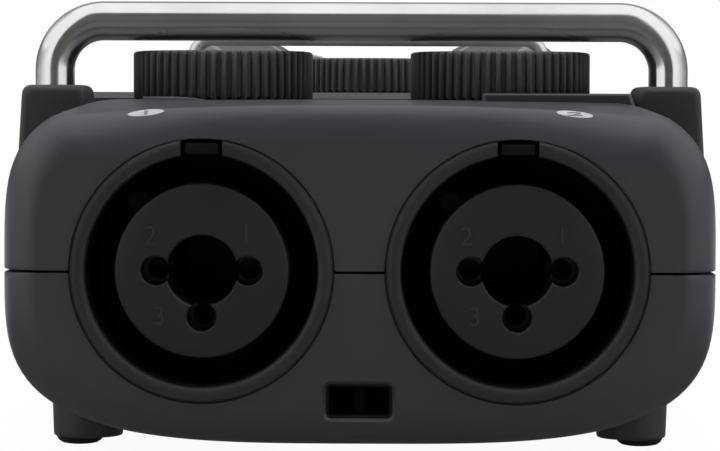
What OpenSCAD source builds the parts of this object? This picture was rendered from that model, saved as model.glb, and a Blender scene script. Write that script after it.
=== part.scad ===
// Portable field recorder lying on its back: jacks towards -Y, microphones towards +Y, controls up.
// Millimetres. The origin is under the middle of the recorder, on the surface that it lies on.
// A depth is measured along +Y from the face of the jack rings.

/* [Case] */
// Length over everything, from the jack rings to the microphones
overall_l = 213.5; // [210:0.5:220]
// Width at the parting line
case_w = 66.8; // [66:0.1:70]
// Length of the main case
case_l = 125; // [124:0.5:127]
// Height of the parting line
parting_z = 16.9; // [16.7:0.1:17.1]
// Height of the belly
belly_z = 0.6; // [0.5:0.1:0.8]
// Height of the flat deck
deck_z = 33.6; // [33.4:0.1:34]
// Height at which the shoulders would close above the deck
crown_z = 34.3; // [34:0.1:34.8]
// Squareness of the upper shell
upper_n = 4.2; // [3.8:0.1:5]
// Squareness of the lower shell
lower_n = 3.5; // [3.2:0.1:4.2]
// Depth at which the deck under the panel becomes level
plateau_d = 31.6; // [31.4:0.1:32]
// Depth of the panel's near edge, behind the knobs
panel_d = 30.6; // [30.6:0.1:31]
// Width of the raised panel that carries the display and the keys
panel_w = 55; // [52:0.5:56]
// Distance of the panel's far edge from the case's end
panel_in = 3.4; // [3:0.1:4]
// Height of the panel over the deck
panel_proud = 0.05; // [0.05:0.05:0.2]
// Depth of the crest before the knobs
crest_d = 12; // [11:0.5:12.5]
// Height of the crest before the knobs
crest_z = 32.95; // [32.9:0.05:33.1]
// Height that the steeper slope before the crest reaches at the jack end
nose_z = 31.2; // [30.8:0.1:31.6]
// Rounding of the jack end
near_r = 3.2; // [2.4:0.1:3.6]
// Rounding of the end that takes the microphone module
far_r = 2; // [1.5:0.1:2.5]
// How far the jack rings stand proud of the case
ring_proud = 0.4; // [0.2:0.1:0.8]
// Wall thickness
wall = 2.2; // [1.8:0.1:2.4]

/* [Fits] */
// Radial clearance of a piece that is seated in a hole
seat_gap = 0.05; // [0.03:0.01:0.08]
// Clearance of a piece that slides or turns in an opening
slide_gap = 0.3; // [0.25:0.05:0.35]

/* [Jacks] */
// Distance of each jack from the middle
jack_x = 14.7; // [14.2:0.1:15.2]
// Height of the jacks
jack_z = 17; // [16.8:0.1:17.2]
// Radius of a jack's ring
ring_r = 12.3; // [12:0.1:12.6]
// Radius of the mouth inside the ring
mouth_r = 10.75; // [10.5:0.05:10.9]
// Depth of the mouth
mouth_l = 12; // [10:0.5:12.5]
// Length of the wide front barrel
front_l = 14; // [13.5:0.5:14.5]
// Length of the jack
jack_l = 33; // [32.5:0.5:34]
// Radius of the insert
insert_r = 8.2; // [8:0.05:8.3]
// How far the insert lies behind the ring's face
insert_recess = 1; // [0.6:0.1:1.5]
// Wall of the tube that holds the insert
tube_wall = 1; // [0.8:0.1:1]
// Radius of the phone plug's hole
phone_r = 3.35; // [3.25:0.05:3.45]
// Depth of the phone plug's hole
phone_l = 29; // [28:0.5:30]
// Radius of a contact hole
pin_hole_r = 1.4; // [1.3:0.05:1.5]
// Radius of the circle that the contact holes lie on
pin_circle_r = 4.3; // [4.2:0.05:4.5]
// Depth of a contact hole
pin_hole_l = 13; // [12:0.5:14]
// Width of a release tab
tab_w = 3.3; // [3:0.1:3.6]
// Length of a release tab
tab_l = 9; // [8:0.5:10]
// Travel of a release tab
tab_travel = 1; // [0.8:0.1:1.2]

/* [Guard bar] */
// Radius of the guard bar
bar_r = 1.915; // [1.8:0.005:2]
// Height of the guard bar's middle
bar_z = 40.58; // [40.3:0.01:41]
// Distance of the bar's legs from the case's sides
bar_side = 3.35; // [3.2:0.05:3.6]
// Bend radius at the middle of the bar
bar_bend = 5; // [4:0.1:6]
// Depth of the guard bar
bar_d = 17; // [16.5:0.5:17.5]
// Width of a guard post
post_w = 6.7; // [6.4:0.1:6.8]
// Length of a guard post
post_l = 9; // [8:0.5:10]
// Height of a guard post's top
post_z = 34.3; // [34:0.1:34.6]
// Height of a guard post's foot
post_foot_z = 25.5; // [25:0.1:26]

/* [Knobs] */
// Radius of a gain knob
knob_r = 8.9; // [8.6:0.1:9]
// Distance of each gain knob from the middle
knob_x = 13.75; // [13.5:0.05:14]
// Depth of the gain knobs' middles
knob_d = 21; // [20.5:0.5:21.5]
// Height of a gain knob's underside
knob_z = 32.9; // [32.8:0.1:33.1]
// Height of a gain knob's body
knob_h = 4.8; // [4.6:0.1:5]
// Number of ribs on a knob
knob_ribs = 56; // [40:2:64]
// Depth of the grooves between ribs
rib_depth = 0.45; // [0.3:0.05:0.6]
// Radius of a control shaft
shaft_r = 3; // [2.8:0.1:3.2]
// Height of the raised ledge before the right knob
right_ledge_z = 33.6; // [33.4:0.1:33.8]
// Length of the ledge beside the right knob
right_ledge_l = 15; // [14:0.5:16]
// How far the middle of that ledge lies outside the knob's middle
right_ledge_out = 5.4; // [5:0.1:5.8]
// Height of the raised ledge before the left knob
left_ledge_z = 33.2; // [33.15:0.05:33.4]
// Width of the ledges
ledge_w = 1.3; // [1:0.1:1.6]

/* [Keys] */
// Travel of a key
key_travel = 0.6; // [0.4:0.1:0.7]
// How far a key stands above the deck
key_proud = 0.05; // [0:0.05:0.2]
// Distance of the transport keys from the display window
transport_gap = 12; // [11:0.5:12.5]
// Distance of the track keys from the display window
track_gap = 13; // [12:0.5:14]
// Gap between neighbouring keys
key_gap = 1.4; // [1.4:0.1:2]
// Length of a square key
key_l = 6; // [5.5:0.1:6.4]

/* [Display] */
// Width of the display window
window_w = 42; // [40:0.5:44]
// Length of the display window
window_l = 34; // [32:0.5:36]
// Thickness of the display window
window_t = 1.2; // [1:0.1:1.4]

/* [Sides] */
// Depth of the side recesses
side_recess = 1.2; // [1:0.1:1.3]
// Height of the side controls
side_z = 21.8; // [21.6:0.1:21.9]
// Distance of the menu key from the card door
menu_gap = 7.5; // [7.2:0.1:8]
// Distance of the scroll wheel from the menu key
scroll_gap = 11.5; // [11:0.1:12]
// Radius of the scroll wheel
scroll_r = 5.2; // [5:0.1:5.4]
// Distance of the power switch from the volume rocker
power_gap = 18; // [17:0.5:19]
// Travel of the power switch each way
power_travel = 2.5; // [2:0.1:3]
// Distance of the volume rocker from the line-out jack
rocker_after = 17; // [16:0.5:18]
// Length of the volume rocker
rocker_l = 14; // [13:0.5:15]
// Distance between the headphone and line-out jacks
mini_pitch = 13; // [12:0.5:14]
// Radius of a small jack's hole
mini_r = 1.8; // [1.75:0.05:1.85]
// Depth of a small jack's hole
mini_l = 14; // [13:0.5:14.5]
// Distance of the USB port from the scroll wheel
usb_gap = 13; // [12:0.5:14]
// Length of the card door
card_door_l = 26; // [25.5:0.5:27]

/* [Power] */
// Radius of a battery cell
cell_r = 7.25; // [7:0.05:7.3]
// Length of a battery cell
cell_l = 50.5; // [49.5:0.1:50.7]
// Distance of each cell from the middle
cell_x = 8; // [7.8:0.1:8.2]
// Distance of the cells from the near edge of the battery cover
cell_in = 4; // [3.5:0.1:4.5]
// Width of the battery cover
cover_w = 35; // [34:0.5:35.5]
// Length of the battery cover
cover_l = 60; // [59:0.5:61]

/* [Base] */
// Radius of a rubber foot
foot_r = 2.25; // [2:0.05:2.5]
// Distance of each foot from the case's side
foot_side = 6.6; // [6.4:0.1:6.8]
// Depth of the front feet
foot_near_d = 9; // [8:0.5:10]
// Distance of the rear feet from the main case's far end
foot_far = 13.4; // [12.8:0.1:15]
// Height of a foot boss above the surface
boss_z = 0.9; // [0.8:0.1:1.1]
// Radius of a foot boss
boss_r = 3.75; // [3.5:0.05:4]
// Distance of the tripod socket from the battery cover
tripod_gap = 7.5; // [7:0.1:8]
// Radius of the tripod socket's thread core
tripod_r = 2.55; // [2.5:0.05:2.6]
// Depth of the tripod socket's hole
tripod_l = 8; // [7:0.5:8]
// Width of the strap slot
strap_w = 6.2; // [6:0.1:6.6]
// Height of the strap slot
strap_h = 3.25; // [3:0.05:3.5]
// Height of the strap slot's middle
strap_z = 4.9; // [4.7:0.1:5.1]
// Distance of the speaker from the battery cover
speaker_gap = 10; // [9.6:0.1:10.2]
// Radius of the speaker
speaker_r = 7.2; // [6.8:0.1:7.4]

/* [Microphone module] */
// Gap between the main case and the module
module_gap = 0.3; // [0.2:0.05:0.5]
// How much smaller than the main case the module is, all round
module_inset = 1.2; // [1:0.1:1.4]
// How far the microphones reach past the module's case
head_l = 35.1; // [34:0.1:36]
// Rounding of the module's far end
module_r = 6; // [5:0.5:6.5]
// Place of the wheel along the module, as a share of the module's length
wheel_share = 0.385; // [0.37:0.005:0.4]
// Radius of the microphone wheel
wheel_r = 9.5; // [9:0.1:10]
// Height of the microphone wheel's underside
wheel_z = 33.9; // [33.9:0.1:34.2]
// Height of the microphone wheel's body
wheel_h = 4.7; // [4.5:0.1:5]
// Radius of the hoop over the wheel
hoop_r = 0.95; // [0.9:0.01:1.1]
// Height of the hoop's middle
hoop_z = 41.35; // [41:0.05:41.4]
// Distance of the hoop's legs from the case's sides
hoop_side = 8.8; // [8.4:0.1:9.2]
// How far the hoop stands behind the wheel's middle
hoop_back = 3; // [2.5:0.1:3.5]
// Bend radius at the middle of the hoop
hoop_bend = 3.5; // [3:0.1:4.5]
// Angle of each microphone to the recorder's length
mic_angle = 45; // [40:1:50]
// Distance of each barrel's middle from the case's side
mic_side = 12.8; // [12.4:0.1:13.2]
// Height of the microphones
mic_z = 33.6; // [33.4:0.1:33.8]
// Radius of a microphone barrel
barrel_r = 7.9; // [7.7:0.05:8]
// Length of a microphone barrel
mic_barrel_l = 15; // [14:0.5:16]
// Wall of a microphone barrel
barrel_wall = 1.2; // [1:0.1:1.4]
// Radius of a microphone grille
grille_r = 6.4; // [6.2:0.05:6.45]
// Length of the straight part of a grille
grille_l = 8; // [7:0.5:9]
// Width of a microphone arm
arm_w = 9; // [8:0.5:10]
// Travel of a module latch
latch_travel = 1.2; // [1:0.1:1.3]
// Distance of the module latches from the module's near end
latch_in = 9.3; // [8.5:0.1:10]

/* [Hidden] */
$fn = 64;
slate = "#34353a";
black = "#1d1d1f";
bright = "#d8d8da";
board_green = "#1f5a3c";
grey_metal = "#9a9ba0";
front_y = -overall_l / 2;
reach = 1;
panel_root = 0.4;
panel_low = 2.4;
panel_r = 3;
section_steps = 48;
arc_steps = 5;
nose_a = atan((crest_z - nose_z) / crest_d);
inner_x = case_w / 2 - wall;
floor_z = belly_z + wall;
ceiling_z = deck_z - wall;
case_d = ring_proud;
case_end_d = case_d + case_l;
board_t = 1.4;
board_z = 24;
board_top_z = board_z + board_t;
board_d = 41.5;
board_end_gap = 10;
board_l = case_end_d - board_end_gap - board_d;
board_side = 4.9;
board_w = case_w - 2 * board_side;
board_post_x = case_w / 2 - 7.6;
board_post_r = 2.4;
row_d = board_d + 6.5;
card_d = row_d + card_door_l / 2;
menu_d = card_d + card_door_l / 2 + menu_gap;
scroll_d = menu_d + scroll_gap;
usb_d = scroll_d + usb_gap;
headphone_d = row_d + 4;
line_out_d = headphone_d + mini_pitch;
rocker_d = line_out_d + rocker_after;
power_d = rocker_d + power_gap;
window_in = 33.5;
window_d = board_d + window_in;
transport_d = window_d - window_l / 2 - transport_gap;
track_d = window_d + window_l / 2 + track_gap;
cover_d = board_d + 2.5;
cell_d = cover_d + cell_in;
tripod_d = cover_d - tripod_gap;
speaker_d = cover_d + cover_l + speaker_gap;
board_post_in = 3;
board_post_ds = [board_d + board_post_in, board_d + board_l - board_post_in];
input_d = front_l + 0.8;
input_l = 25;
input_w = 44;
input_t = 1.2;
tube_r = insert_r + seat_gap + tube_wall;
input_z = jack_z + tube_r + seat_gap + 0.1;
pot_z = input_z + input_t;
pot_w = 12;
pot_h = 3;
shaft_gap = 0.05;
shaft_end_z = pot_z + 0.6;
knob_well_r = knob_r + 0.5;
well_z = knob_z - 0.35;
hang_post_r = 2.2;
hang_post_x = 19;
hang_post_d = input_d + input_l - 3.4;
case_post_x = case_w / 2 - 6.4;
case_post_r = 2.8;
case_post_z = 5.2;
root = 0.7;
case_post_ds = [38, case_end_d - 6.4];
screw_r = 1.2;
screw_head_r = 2.2;
screw_head_h = 1.6;
screw_seat_z = 6.5;
screw_tip_z = 24;
board_screw_r = 1;
board_screw_l = 6;
switch_h = 3.5;
switch_w = 6;
switch_top_z = board_top_z + switch_h;
key_flange_t = 1;
key_flange = 0.6;
key_rest_gap = 0.05;
key_drop = 0.4;
key_flange_z = ceiling_z - key_drop - key_flange_t;
side_key_drop = 0.5;
key_stem_r = 1.5;
key_pitch = 0.135 * case_w;
key_w = key_pitch - key_gap;
record_r = key_w / 2;
transport_xs = [for (i = [-2 : 2]) i * key_pitch];
track_xs = [for (i = [-1 : 1]) 1.5 * i * key_pitch];
lcd_w = window_w - 4;
lcd_l = window_l - 4;
window_ledge = 1.2;
side_face = case_w / 2 - 0.2;
side_floor = case_w / 2 - side_recess;
menu_l = 7;
menu_h = 3.4;
side_key_flange_t = 1;
side_switch_in = 5;
side_switch_x = case_w / 2 - side_switch_in;
menu_switch_w = 5;
power_switch_w = 4;
power_switch_l = 12;
side_switch_drop = 2;
wheel_axle_r = 0.95;
scroll_h = 3.6;
scroll_x = side_face - scroll_r;
rocker_h = 3.4;
rocker_t = 1.6;
rocker_hub_r = 1.5;
rocker_pivot_x = -(case_w / 2 - 3.4);
rocker_gap = slide_gap + 0.2;
power_l = 6;
power_h = 3;
mini_body_w = 6;
mini_body_l = mini_l - wall + 0.8;
mini_nose_r = 2.7;
usb_w = 8;
usb_l = 8;
usb_h = 2.8;
usb_wall = 0.35;
card_slot_w = 24.6;
card_slot_h = 2.4;
card_slot_l = 26;
card_hinge_r = 0.6;
card_hinge_x = side_face - card_hinge_r;
card_hinge_z = 18.4;
card_door_h = 5.2;
card_pin_l = 0.8;
cell_z = floor_z + cell_r + 0.15;
contact_t = 0.5;
contact_pad_l = 0.6;
contact_h = 10;
contact_pad_r = 2.4;
bay_wall = 1.2;
bay_top_z = 16.5;
nub_r = 2.7;
nub_l = 1;
foot_h = 1.6;
boss_in = 1;
boss_h = 5.2;
nut_r = 5;
nut_h = tripod_l + 1;
nut_z = belly_z + 0.1;
nut_wall = 1.4;
strap_pin_r = 0.9;
strap_pin_d = 4.4;
speaker_h = 4;
module_d = case_end_d + module_gap;
module_end_d = overall_l - head_l;
wheel_d = module_d + wheel_share * (module_end_d - module_d);
hoop_d = wheel_d + hoop_back;
latch_d = module_d + latch_in;
hoop_x = case_w / 2 - hoop_side;
mic_x = case_w / 2 - mic_side;
bar_x = case_w / 2 - bar_side;
foot_x = case_w / 2 - foot_side;
foot_far_d = case_end_d - foot_far;
module_deck_z = deck_z - module_inset;
collar_r = wheel_r + 0.9;
collar_z = wheel_z - slide_gap;
wheel_pot_h = 3.4;
hoop_end_z = 28;
hoop_boss_r = 2.2;
hoop_boss_z = module_deck_z - 1.2;
plug_w = 21.4;
plug_h = 2.4;
plug_z = 20.5;
plug_rim = 2;
socket_wall = 1;
socket_l = 10.8;
plug_l = 8.6;
latch_l = 9;
latch_h = 6;
latch_z = 18;
latch_x = case_w / 2 - module_inset + 0.8;
latch_flange_x = case_w / 2 - module_inset - wall - slide_gap;
dome_at = mic_barrel_l / 2 + grille_l;
mic_d = overall_l - grille_r - dome_at * cos(mic_angle);
grille_wall = 0.8;
grille_tail = 3;
ring_wall = 1.8;
ring_l = 5;
ring_at = -5;
arm_low_z = 11;
arm_top_z = 27;
arm_end_d = mic_d + 5;

// Depth, height and half-width helpers
function power_of(v, n) = sign(v) * pow(abs(v), 2 / n);
function upper_point(a, inset) = [(case_w / 2 - inset) * power_of(cos(a), upper_n),
  (crown_z - parting_z - inset) * power_of(sin(a), upper_n)];
function lower_point(a, inset) = [(case_w / 2 - inset) * power_of(cos(a), lower_n),
  (parting_z - belly_z - inset) * power_of(sin(a), lower_n)];
function section(inset) = [for (i = [0 : section_steps - 1]) let (a = 360 * i / section_steps)
  a <= 180 ? upper_point(a, inset) : lower_point(a, inset)];
function arc(x, y, r, a0, a1) = [for (i = [0 : arc_steps]) let (a = a0 + (a1 - a0) * i / arc_steps)
  [x + r * cos(a), y + r * sin(a)]];
function nose_top(d) = crest_z - (crest_d - d) * tan(nose_a);
function near_top(inset, d0, r0) = d0 > crest_d ? arc(d0 + r0, deck_z - inset - r0, r0, 90, 180) : concat(
  [[plateau_d, deck_z - inset], [panel_d + panel_root, crest_z - inset], [crest_d, crest_z - inset]],
  arc(d0 + r0, nose_top(d0 + r0) - inset - r0 / cos(nose_a), r0, 90 + nose_a, 180));
function side_outline(inset, d0, d1, r0, r1) = concat(
  arc(d0 + r0, belly_z + inset + r0, r0, 180, 270),
  arc(d1 - r1, belly_z + inset + r1, r1, 270, 360),
  arc(d1 - r1, deck_z - inset - r1, r1, 0, 90),
  near_top(inset, d0, r0));
function fluted(r, n) = [for (i = [0 : 2 * n - 1]) let (a = 180 * i / n, q = r - rib_depth * (i % 2))
  [q * cos(a), q * sin(a)]];

// Placing helpers
module at(x, d, z) translate([x, front_y + d, z]) children();
module block(x, d, z, w, l, h) at(x - w / 2, d - l / 2, z) cube([w, l, h]);
module peg(x, d, z, r, h) at(x, d, z) cylinder(r = r, h = h);
module rod_in(x, d, z, r, l) at(x, d, z) rotate([-90, 0, 0]) cylinder(r = r, h = l);
module rod_across(x, d, z, r, l) at(x, d, z) rotate([0, 90, 0]) cylinder(r = r, h = l);
module soft_plate(w, l, r) {
  square([w - 2 * r, l], center = true);
  square([w, l - 2 * r], center = true);
  for (x = [-1, 1], y = [-1, 1]) translate([x * (w / 2 - r), y * (l / 2 - r)]) circle(r);
}
module soft_block(x, d, z, w, l, h, r) at(x, d, z) linear_extrude(h) soft_plate(w, l, r);

// Case forms: a lengthways section, rounded at its ends in plan and in side view
module end_rounded(low, high, d0, d1, r0, r1) {
  translate([low, d0 + r0]) square([high - low, d1 - d0 - r0 - r1]);
  translate([low + r0, d0]) square([high - low - 2 * r0, r0 + reach]);
  translate([low + r1, d1 - r1 - reach]) square([high - low - 2 * r1, r1 + reach]);
  for (x = [low + r0, high - r0]) translate([x, d0 + r0]) circle(r0);
  for (x = [low + r1, high - r1]) translate([x, d1 - r1]) circle(r1);
}
module case_form(inset, d0, d1, r0, r1) intersection() {
  at(0, d1 + reach, parting_z) rotate([90, 0, 0])
    linear_extrude(d1 - d0 + 2 * reach) polygon(section(inset));
  at(0, 0, -reach) linear_extrude(case_w)
    end_rounded(inset - case_w / 2, case_w / 2 - inset, d0, d1, r0, r1);
  at(-case_w, 0, 0) rotate([90, 0, 90])
    linear_extrude(2 * case_w) polygon(side_outline(inset, d0, d1, r0, r1));
}
module outer_form() case_form(0, case_d, case_end_d, near_r, far_r);
module inner_form() case_form(wall, case_d + wall, case_end_d - wall, near_r, far_r);
module upper_half() block(0, case_end_d / 2, parting_z, 2 * case_w, 2 * case_l, case_w);
module lower_half() block(0, case_end_d / 2, parting_z - case_w, 2 * case_w, 2 * case_l, case_w);
module jack_openings() for (s = [-1, 1])
  rod_in(s * jack_x, -reach, jack_z, ring_r + seat_gap, front_l + reach + slide_gap);

// Upper shell
module panel() soft_block(0, (panel_d + case_end_d - panel_in) / 2, deck_z - panel_low, panel_w,
  case_end_d - panel_in - panel_d, panel_low + panel_proud, panel_r);
module left_ledge() intersection() {
  peg(-knob_x, knob_d, well_z - reach, knob_well_r + ledge_w, left_ledge_z - well_z + reach);
  block(-knob_x - 3.4, knob_d - knob_r, well_z - 2 * reach, 8, 2 * knob_r, deck_z);
}
module right_ledge() block(knob_x + right_ledge_out, knob_d - knob_well_r / 2 - ledge_w / 2,
  well_z - reach, right_ledge_l, knob_well_r + ledge_w, right_ledge_z - well_z + reach);
module key_opening(x, d) soft_block(x, d, ceiling_z - reach, key_w + 2 * slide_gap, key_l + 2 * slide_gap,
  wall + 2 * reach, 1 + slide_gap);
module knob_wells() for (s = [-1, 1]) {
  peg(s * knob_x, knob_d, well_z, knob_well_r, 2 * wall);
  peg(s * knob_x, knob_d, pot_z, shaft_r + slide_gap, 3 * wall);
}
module post_shape(s, gap) at(s * (bar_x - 0.4), bar_d + post_l / 2 + gap, (post_z + post_foot_z) / 2)
  rotate([90, 0, 0]) linear_extrude(post_l + 2 * gap)
    soft_plate(post_w + 2 * gap, post_z - post_foot_z, 1);
module side_pocket(s, d, l, h) block(s * case_w / 2, d, side_z - h / 2, 2 * side_recess, l, h);
module side_hole(s, d, l, h) block(s * (case_w / 2 - wall / 2), d, side_z - h / 2, 2 * wall, l, h);
module upper_posts() {
  for (s = [-1, 1], d = case_post_ds) peg(s * case_post_x, d, parting_z, case_post_r, deck_z - parting_z);
  for (s = [-1, 1]) peg(s * hang_post_x, hang_post_d, pot_z, hang_post_r, deck_z - pot_z);
}
module side_openings() {
  side_pocket(1, menu_d, menu_l + 4, menu_h + 3);
  side_hole(1, menu_d, menu_l + 2 * slide_gap, menu_h + 2 * slide_gap);
  side_pocket(1, scroll_d, 2 * scroll_r, scroll_h + 2);
  side_hole(1, scroll_d, 2 * scroll_r, scroll_h + 2 * slide_gap);
  block(case_w / 2, card_d, card_hinge_z - card_hinge_r - slide_gap, 2 * side_recess + 2 * slide_gap,
    card_door_l + 2 * slide_gap, card_door_h + card_hinge_r + 2 * slide_gap);
  rod_in(card_hinge_x, card_d - card_door_l / 2 - card_pin_l - slide_gap, card_hinge_z,
    card_hinge_r + seat_gap, card_door_l + 2 * card_pin_l + 2 * slide_gap);
  block(case_w / 2 - wall, card_d, board_z - card_slot_h - 0.5, 3 * wall, card_slot_w, card_slot_h);
  block(case_w / 2, usb_d, board_z - usb_h - seat_gap, 4 * wall, usb_w + 2 * seat_gap,
    usb_h + 2 * seat_gap);
  side_pocket(-1, power_d, power_l + 2 * power_travel + 3, power_h + 2);
  side_hole(-1, power_d, power_l + 2 * power_travel + 2 * slide_gap, power_h + 2 * slide_gap);
  side_pocket(-1, rocker_d, rocker_l + 3, rocker_h + 2);
  side_hole(-1, rocker_d, rocker_l + 2 * rocker_gap, rocker_h + 2 * slide_gap);
  for (d = [headphone_d, line_out_d])
    rod_across(-case_w, d, board_z - mini_body_w / 2, mini_nose_r + seat_gap, case_w / 2 + 2 * wall);
}
module upper_case() color(slate) difference() {
  union() {
    intersection() {
      outer_form();
      upper_half();
    }
    panel();
    left_ledge();
    right_ledge();
  }
  difference() {
    inner_form();
    upper_posts();
  }
  jack_openings();
  knob_wells();
  for (s = [-1, 1]) post_shape(s, seat_gap);
  for (x = transport_xs) if (x != 0) key_opening(x, transport_d);
  peg(0, transport_d, ceiling_z - reach, record_r + slide_gap, wall + 2 * reach);
  for (x = track_xs) key_opening(x, track_d);
  soft_block(0, window_d, deck_z - window_t, window_w + 2 * seat_gap, window_l + 2 * seat_gap, wall, 2);
  block(0, window_d, ceiling_z - reach, window_w - 2 * window_ledge, window_l - 2 * window_ledge,
    wall + reach);
  side_openings();
  for (s = [-1, 1], d = case_post_ds)
    peg(s * case_post_x, d, parting_z - reach, screw_r + seat_gap, screw_tip_z - parting_z + 2 * reach);
  for (s = [-1, 1])
    peg(s * hang_post_x, hang_post_d, pot_z - reach, board_screw_r + seat_gap, board_screw_l);
  block(0, case_end_d, plug_z - slide_gap, plug_w + 2 * slide_gap, 4 * wall, plug_h + 2 * slide_gap);
}

// Lower shell
module bay_frame() difference() {
  block(0, cover_d + cover_l / 2, floor_z - root, cover_w + 2 * bay_wall + 1, cover_l + 2 * bay_wall + 1,
    bay_top_z - floor_z + root);
  block(0, cover_d + cover_l / 2, belly_z - reach, cover_w + 1, cover_l + 1, bay_top_z + reach);
}
module bay_ends() for (d = [cell_d - contact_pad_l - contact_t - bay_wall / 2,
    cell_d + cell_l + contact_pad_l + contact_t + bay_wall / 2])
  block(0, d, floor_z + 0.6, cover_w + bay_wall + 1, bay_wall, bay_top_z - floor_z - 0.8);
module lower_posts() {
  for (s = [-1, 1], d = case_post_ds) peg(s * case_post_x, d, case_post_z, case_post_r,
    parting_z - case_post_z);
  bay_frame();
  bay_ends();
  peg(0, tripod_d, floor_z - root, nut_r + seat_gap + nut_wall, nut_h - root);
}
module board_posts() for (s = [-1, 1], d = board_post_ds)
  peg(s * board_post_x, d, case_post_z, board_post_r, board_z - case_post_z);
module foot_bosses() for (s = [-1, 1], d = [foot_near_d, foot_far_d])
  peg(s * (foot_x - boss_in), d, boss_z, boss_r, boss_h);
module cover_zone(gap, low_z, high_z) block(0, cover_d + cover_l / 2, low_z, cover_w + 2 * gap,
  cover_l + 2 * gap, high_z - low_z);
module lower_case() color(slate) difference() {
  union() {
    difference() {
      intersection() {
        outer_form();
        lower_half();
      }
      inner_form();
    }
    lower_posts();
    board_posts();
    foot_bosses();
  }
  jack_openings();
  cover_zone(slide_gap, -reach, floor_z + 0.4);
  block(0, 0, strap_z - strap_h / 2, strap_w, 2 * (near_r + 2 * wall), strap_h);
  peg(0, strap_pin_d, belly_z + reach, strap_pin_r + seat_gap, strap_z + strap_h);
  peg(0, tripod_d, -reach, tripod_r + 1, nut_h);
  peg(0, tripod_d, nut_z + reach, nut_r + seat_gap, 2 * nut_h);
  for (s = [-1, 1], d = [foot_near_d, foot_far_d])
    peg(s * foot_x, d, -reach, foot_r + seat_gap, foot_h + reach);
  for (s = [-1, 1], d = case_post_ds) {
    peg(s * case_post_x, d, -reach, screw_head_r + 2 * seat_gap, screw_seat_z + reach);
    peg(s * case_post_x, d, 0, screw_r + 2 * seat_gap, parting_z + reach);
  }
  for (s = [-1, 1], d = board_post_ds)
    peg(s * board_post_x, d, board_top_z - board_screw_l, board_screw_r + seat_gap, board_screw_l);
  peg(0, speaker_d, -reach, 0.8, 3 * wall);
  for (k = [0 : 5]) peg(4 * cos(60 * k), speaker_d + 4 * sin(60 * k), -reach, 0.8, 3 * wall);
}

// Guard bar over the knobs
module arch(x, z, r, bend, low_z, d) {
  at(-(x - bend), d, z) rotate([0, 90, 0]) cylinder(r = r, h = 2 * (x - bend));
  for (s = [-1, 1]) {
    at(s * (x - bend), d, z - bend) rotate([90, s > 0 ? 0 : -90, 0])
      rotate_extrude(angle = 90) translate([bend, 0]) circle(r);
    peg(s * x, d, low_z, r, z - bend - low_z);
  }
}
bar_end_z = post_foot_z + 1.5;
module guard_bar() color(bright) arch(bar_x, bar_z, bar_r, bar_bend, bar_end_z, bar_d);
module guard_posts() color(black) for (s = [-1, 1]) difference() {
  post_shape(s, 0);
  peg(s * bar_x, bar_d, bar_end_z, bar_r + seat_gap, post_z);
}

// Combination jacks
module jack_shell(s) color(black) difference() {
  union() {
    rod_in(s * jack_x, 0, jack_z, ring_r, front_l);
    rod_in(s * jack_x, front_l / 2, jack_z, tube_r, jack_l - front_l / 2);
  }
  rod_in(s * jack_x, -reach, jack_z, mouth_r, mouth_l + reach);
  rod_in(s * jack_x, 0, jack_z, insert_r + seat_gap, jack_l - tube_wall);
  block(s * jack_x, (tab_l + tab_travel + slide_gap) / 2, jack_z + insert_r + reach,
    tab_w + 2 * slide_gap,
    tab_l + tab_travel + slide_gap + reach, ring_r - insert_r);
}
module jack_insert(s) color(black) difference() {
  rod_in(s * jack_x, insert_recess, jack_z, insert_r, jack_l - tube_wall - insert_recess);
  rod_in(s * jack_x, insert_recess - reach, jack_z, phone_r, phone_l + reach);
  for (a = [0, 180, 270]) rod_in(s * jack_x + pin_circle_r * cos(a), insert_recess - reach,
    jack_z + pin_circle_r * sin(a), pin_hole_r, pin_hole_l + reach);
}
contact_d = insert_recess + 4;
module jack_contacts() color("#c9a24a") for (s = [-1, 1], a = [0, 180, 270]) difference() {
  rod_in(s * jack_x + pin_circle_r * cos(a), contact_d, jack_z + pin_circle_r * sin(a),
    pin_hole_r - seat_gap, insert_recess + pin_hole_l - contact_d);
  rod_in(s * jack_x + pin_circle_r * cos(a), contact_d - reach, jack_z + pin_circle_r * sin(a),
    pin_hole_r - 0.4, insert_recess + pin_hole_l - contact_d);
  rod_in(s * jack_x, contact_d - reach, jack_z, phone_r + seat_gap, phone_l);
}
module release_tab(s) color(black)
  block(s * jack_x, 0.5 + tab_l / 2, jack_z + mouth_r + 0.1, tab_w, tab_l, ring_r - mouth_r - 0.45);

// Strap pin, feet and screws
module strap_pin() color(grey_metal)
  peg(0, strap_pin_d, belly_z + reach, strap_pin_r, strap_z + strap_h - belly_z);
module rubber_feet() color("#151515") for (s = [-1, 1], d = [foot_near_d, foot_far_d])
  peg(s * foot_x, d, 0, foot_r, foot_h);
module screw(x, d, seat_z, up, head_r, head_h, r, l) at(x, d, seat_z) mirror([0, 0, up ? 0 : 1]) {
  cylinder(r = r, h = l);
  translate([0, 0, -head_h]) cylinder(r = head_r, h = head_h);
}
module case_screws() color(grey_metal) for (s = [-1, 1], d = case_post_ds)
  screw(s * case_post_x, d, screw_seat_z, true, screw_head_r, screw_head_h, screw_r,
    screw_tip_z - screw_seat_z);
module board_screws() color(grey_metal) for (s = [-1, 1]) {
  for (d = board_post_ds) screw(s * board_post_x, d, board_top_z, false, 1.8, 1, board_screw_r,
    board_screw_l - 0.5);
  screw(s * hang_post_x, hang_post_d, input_z, true, 1.8, 0.6, board_screw_r, board_screw_l - 1.5);
}

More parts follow.
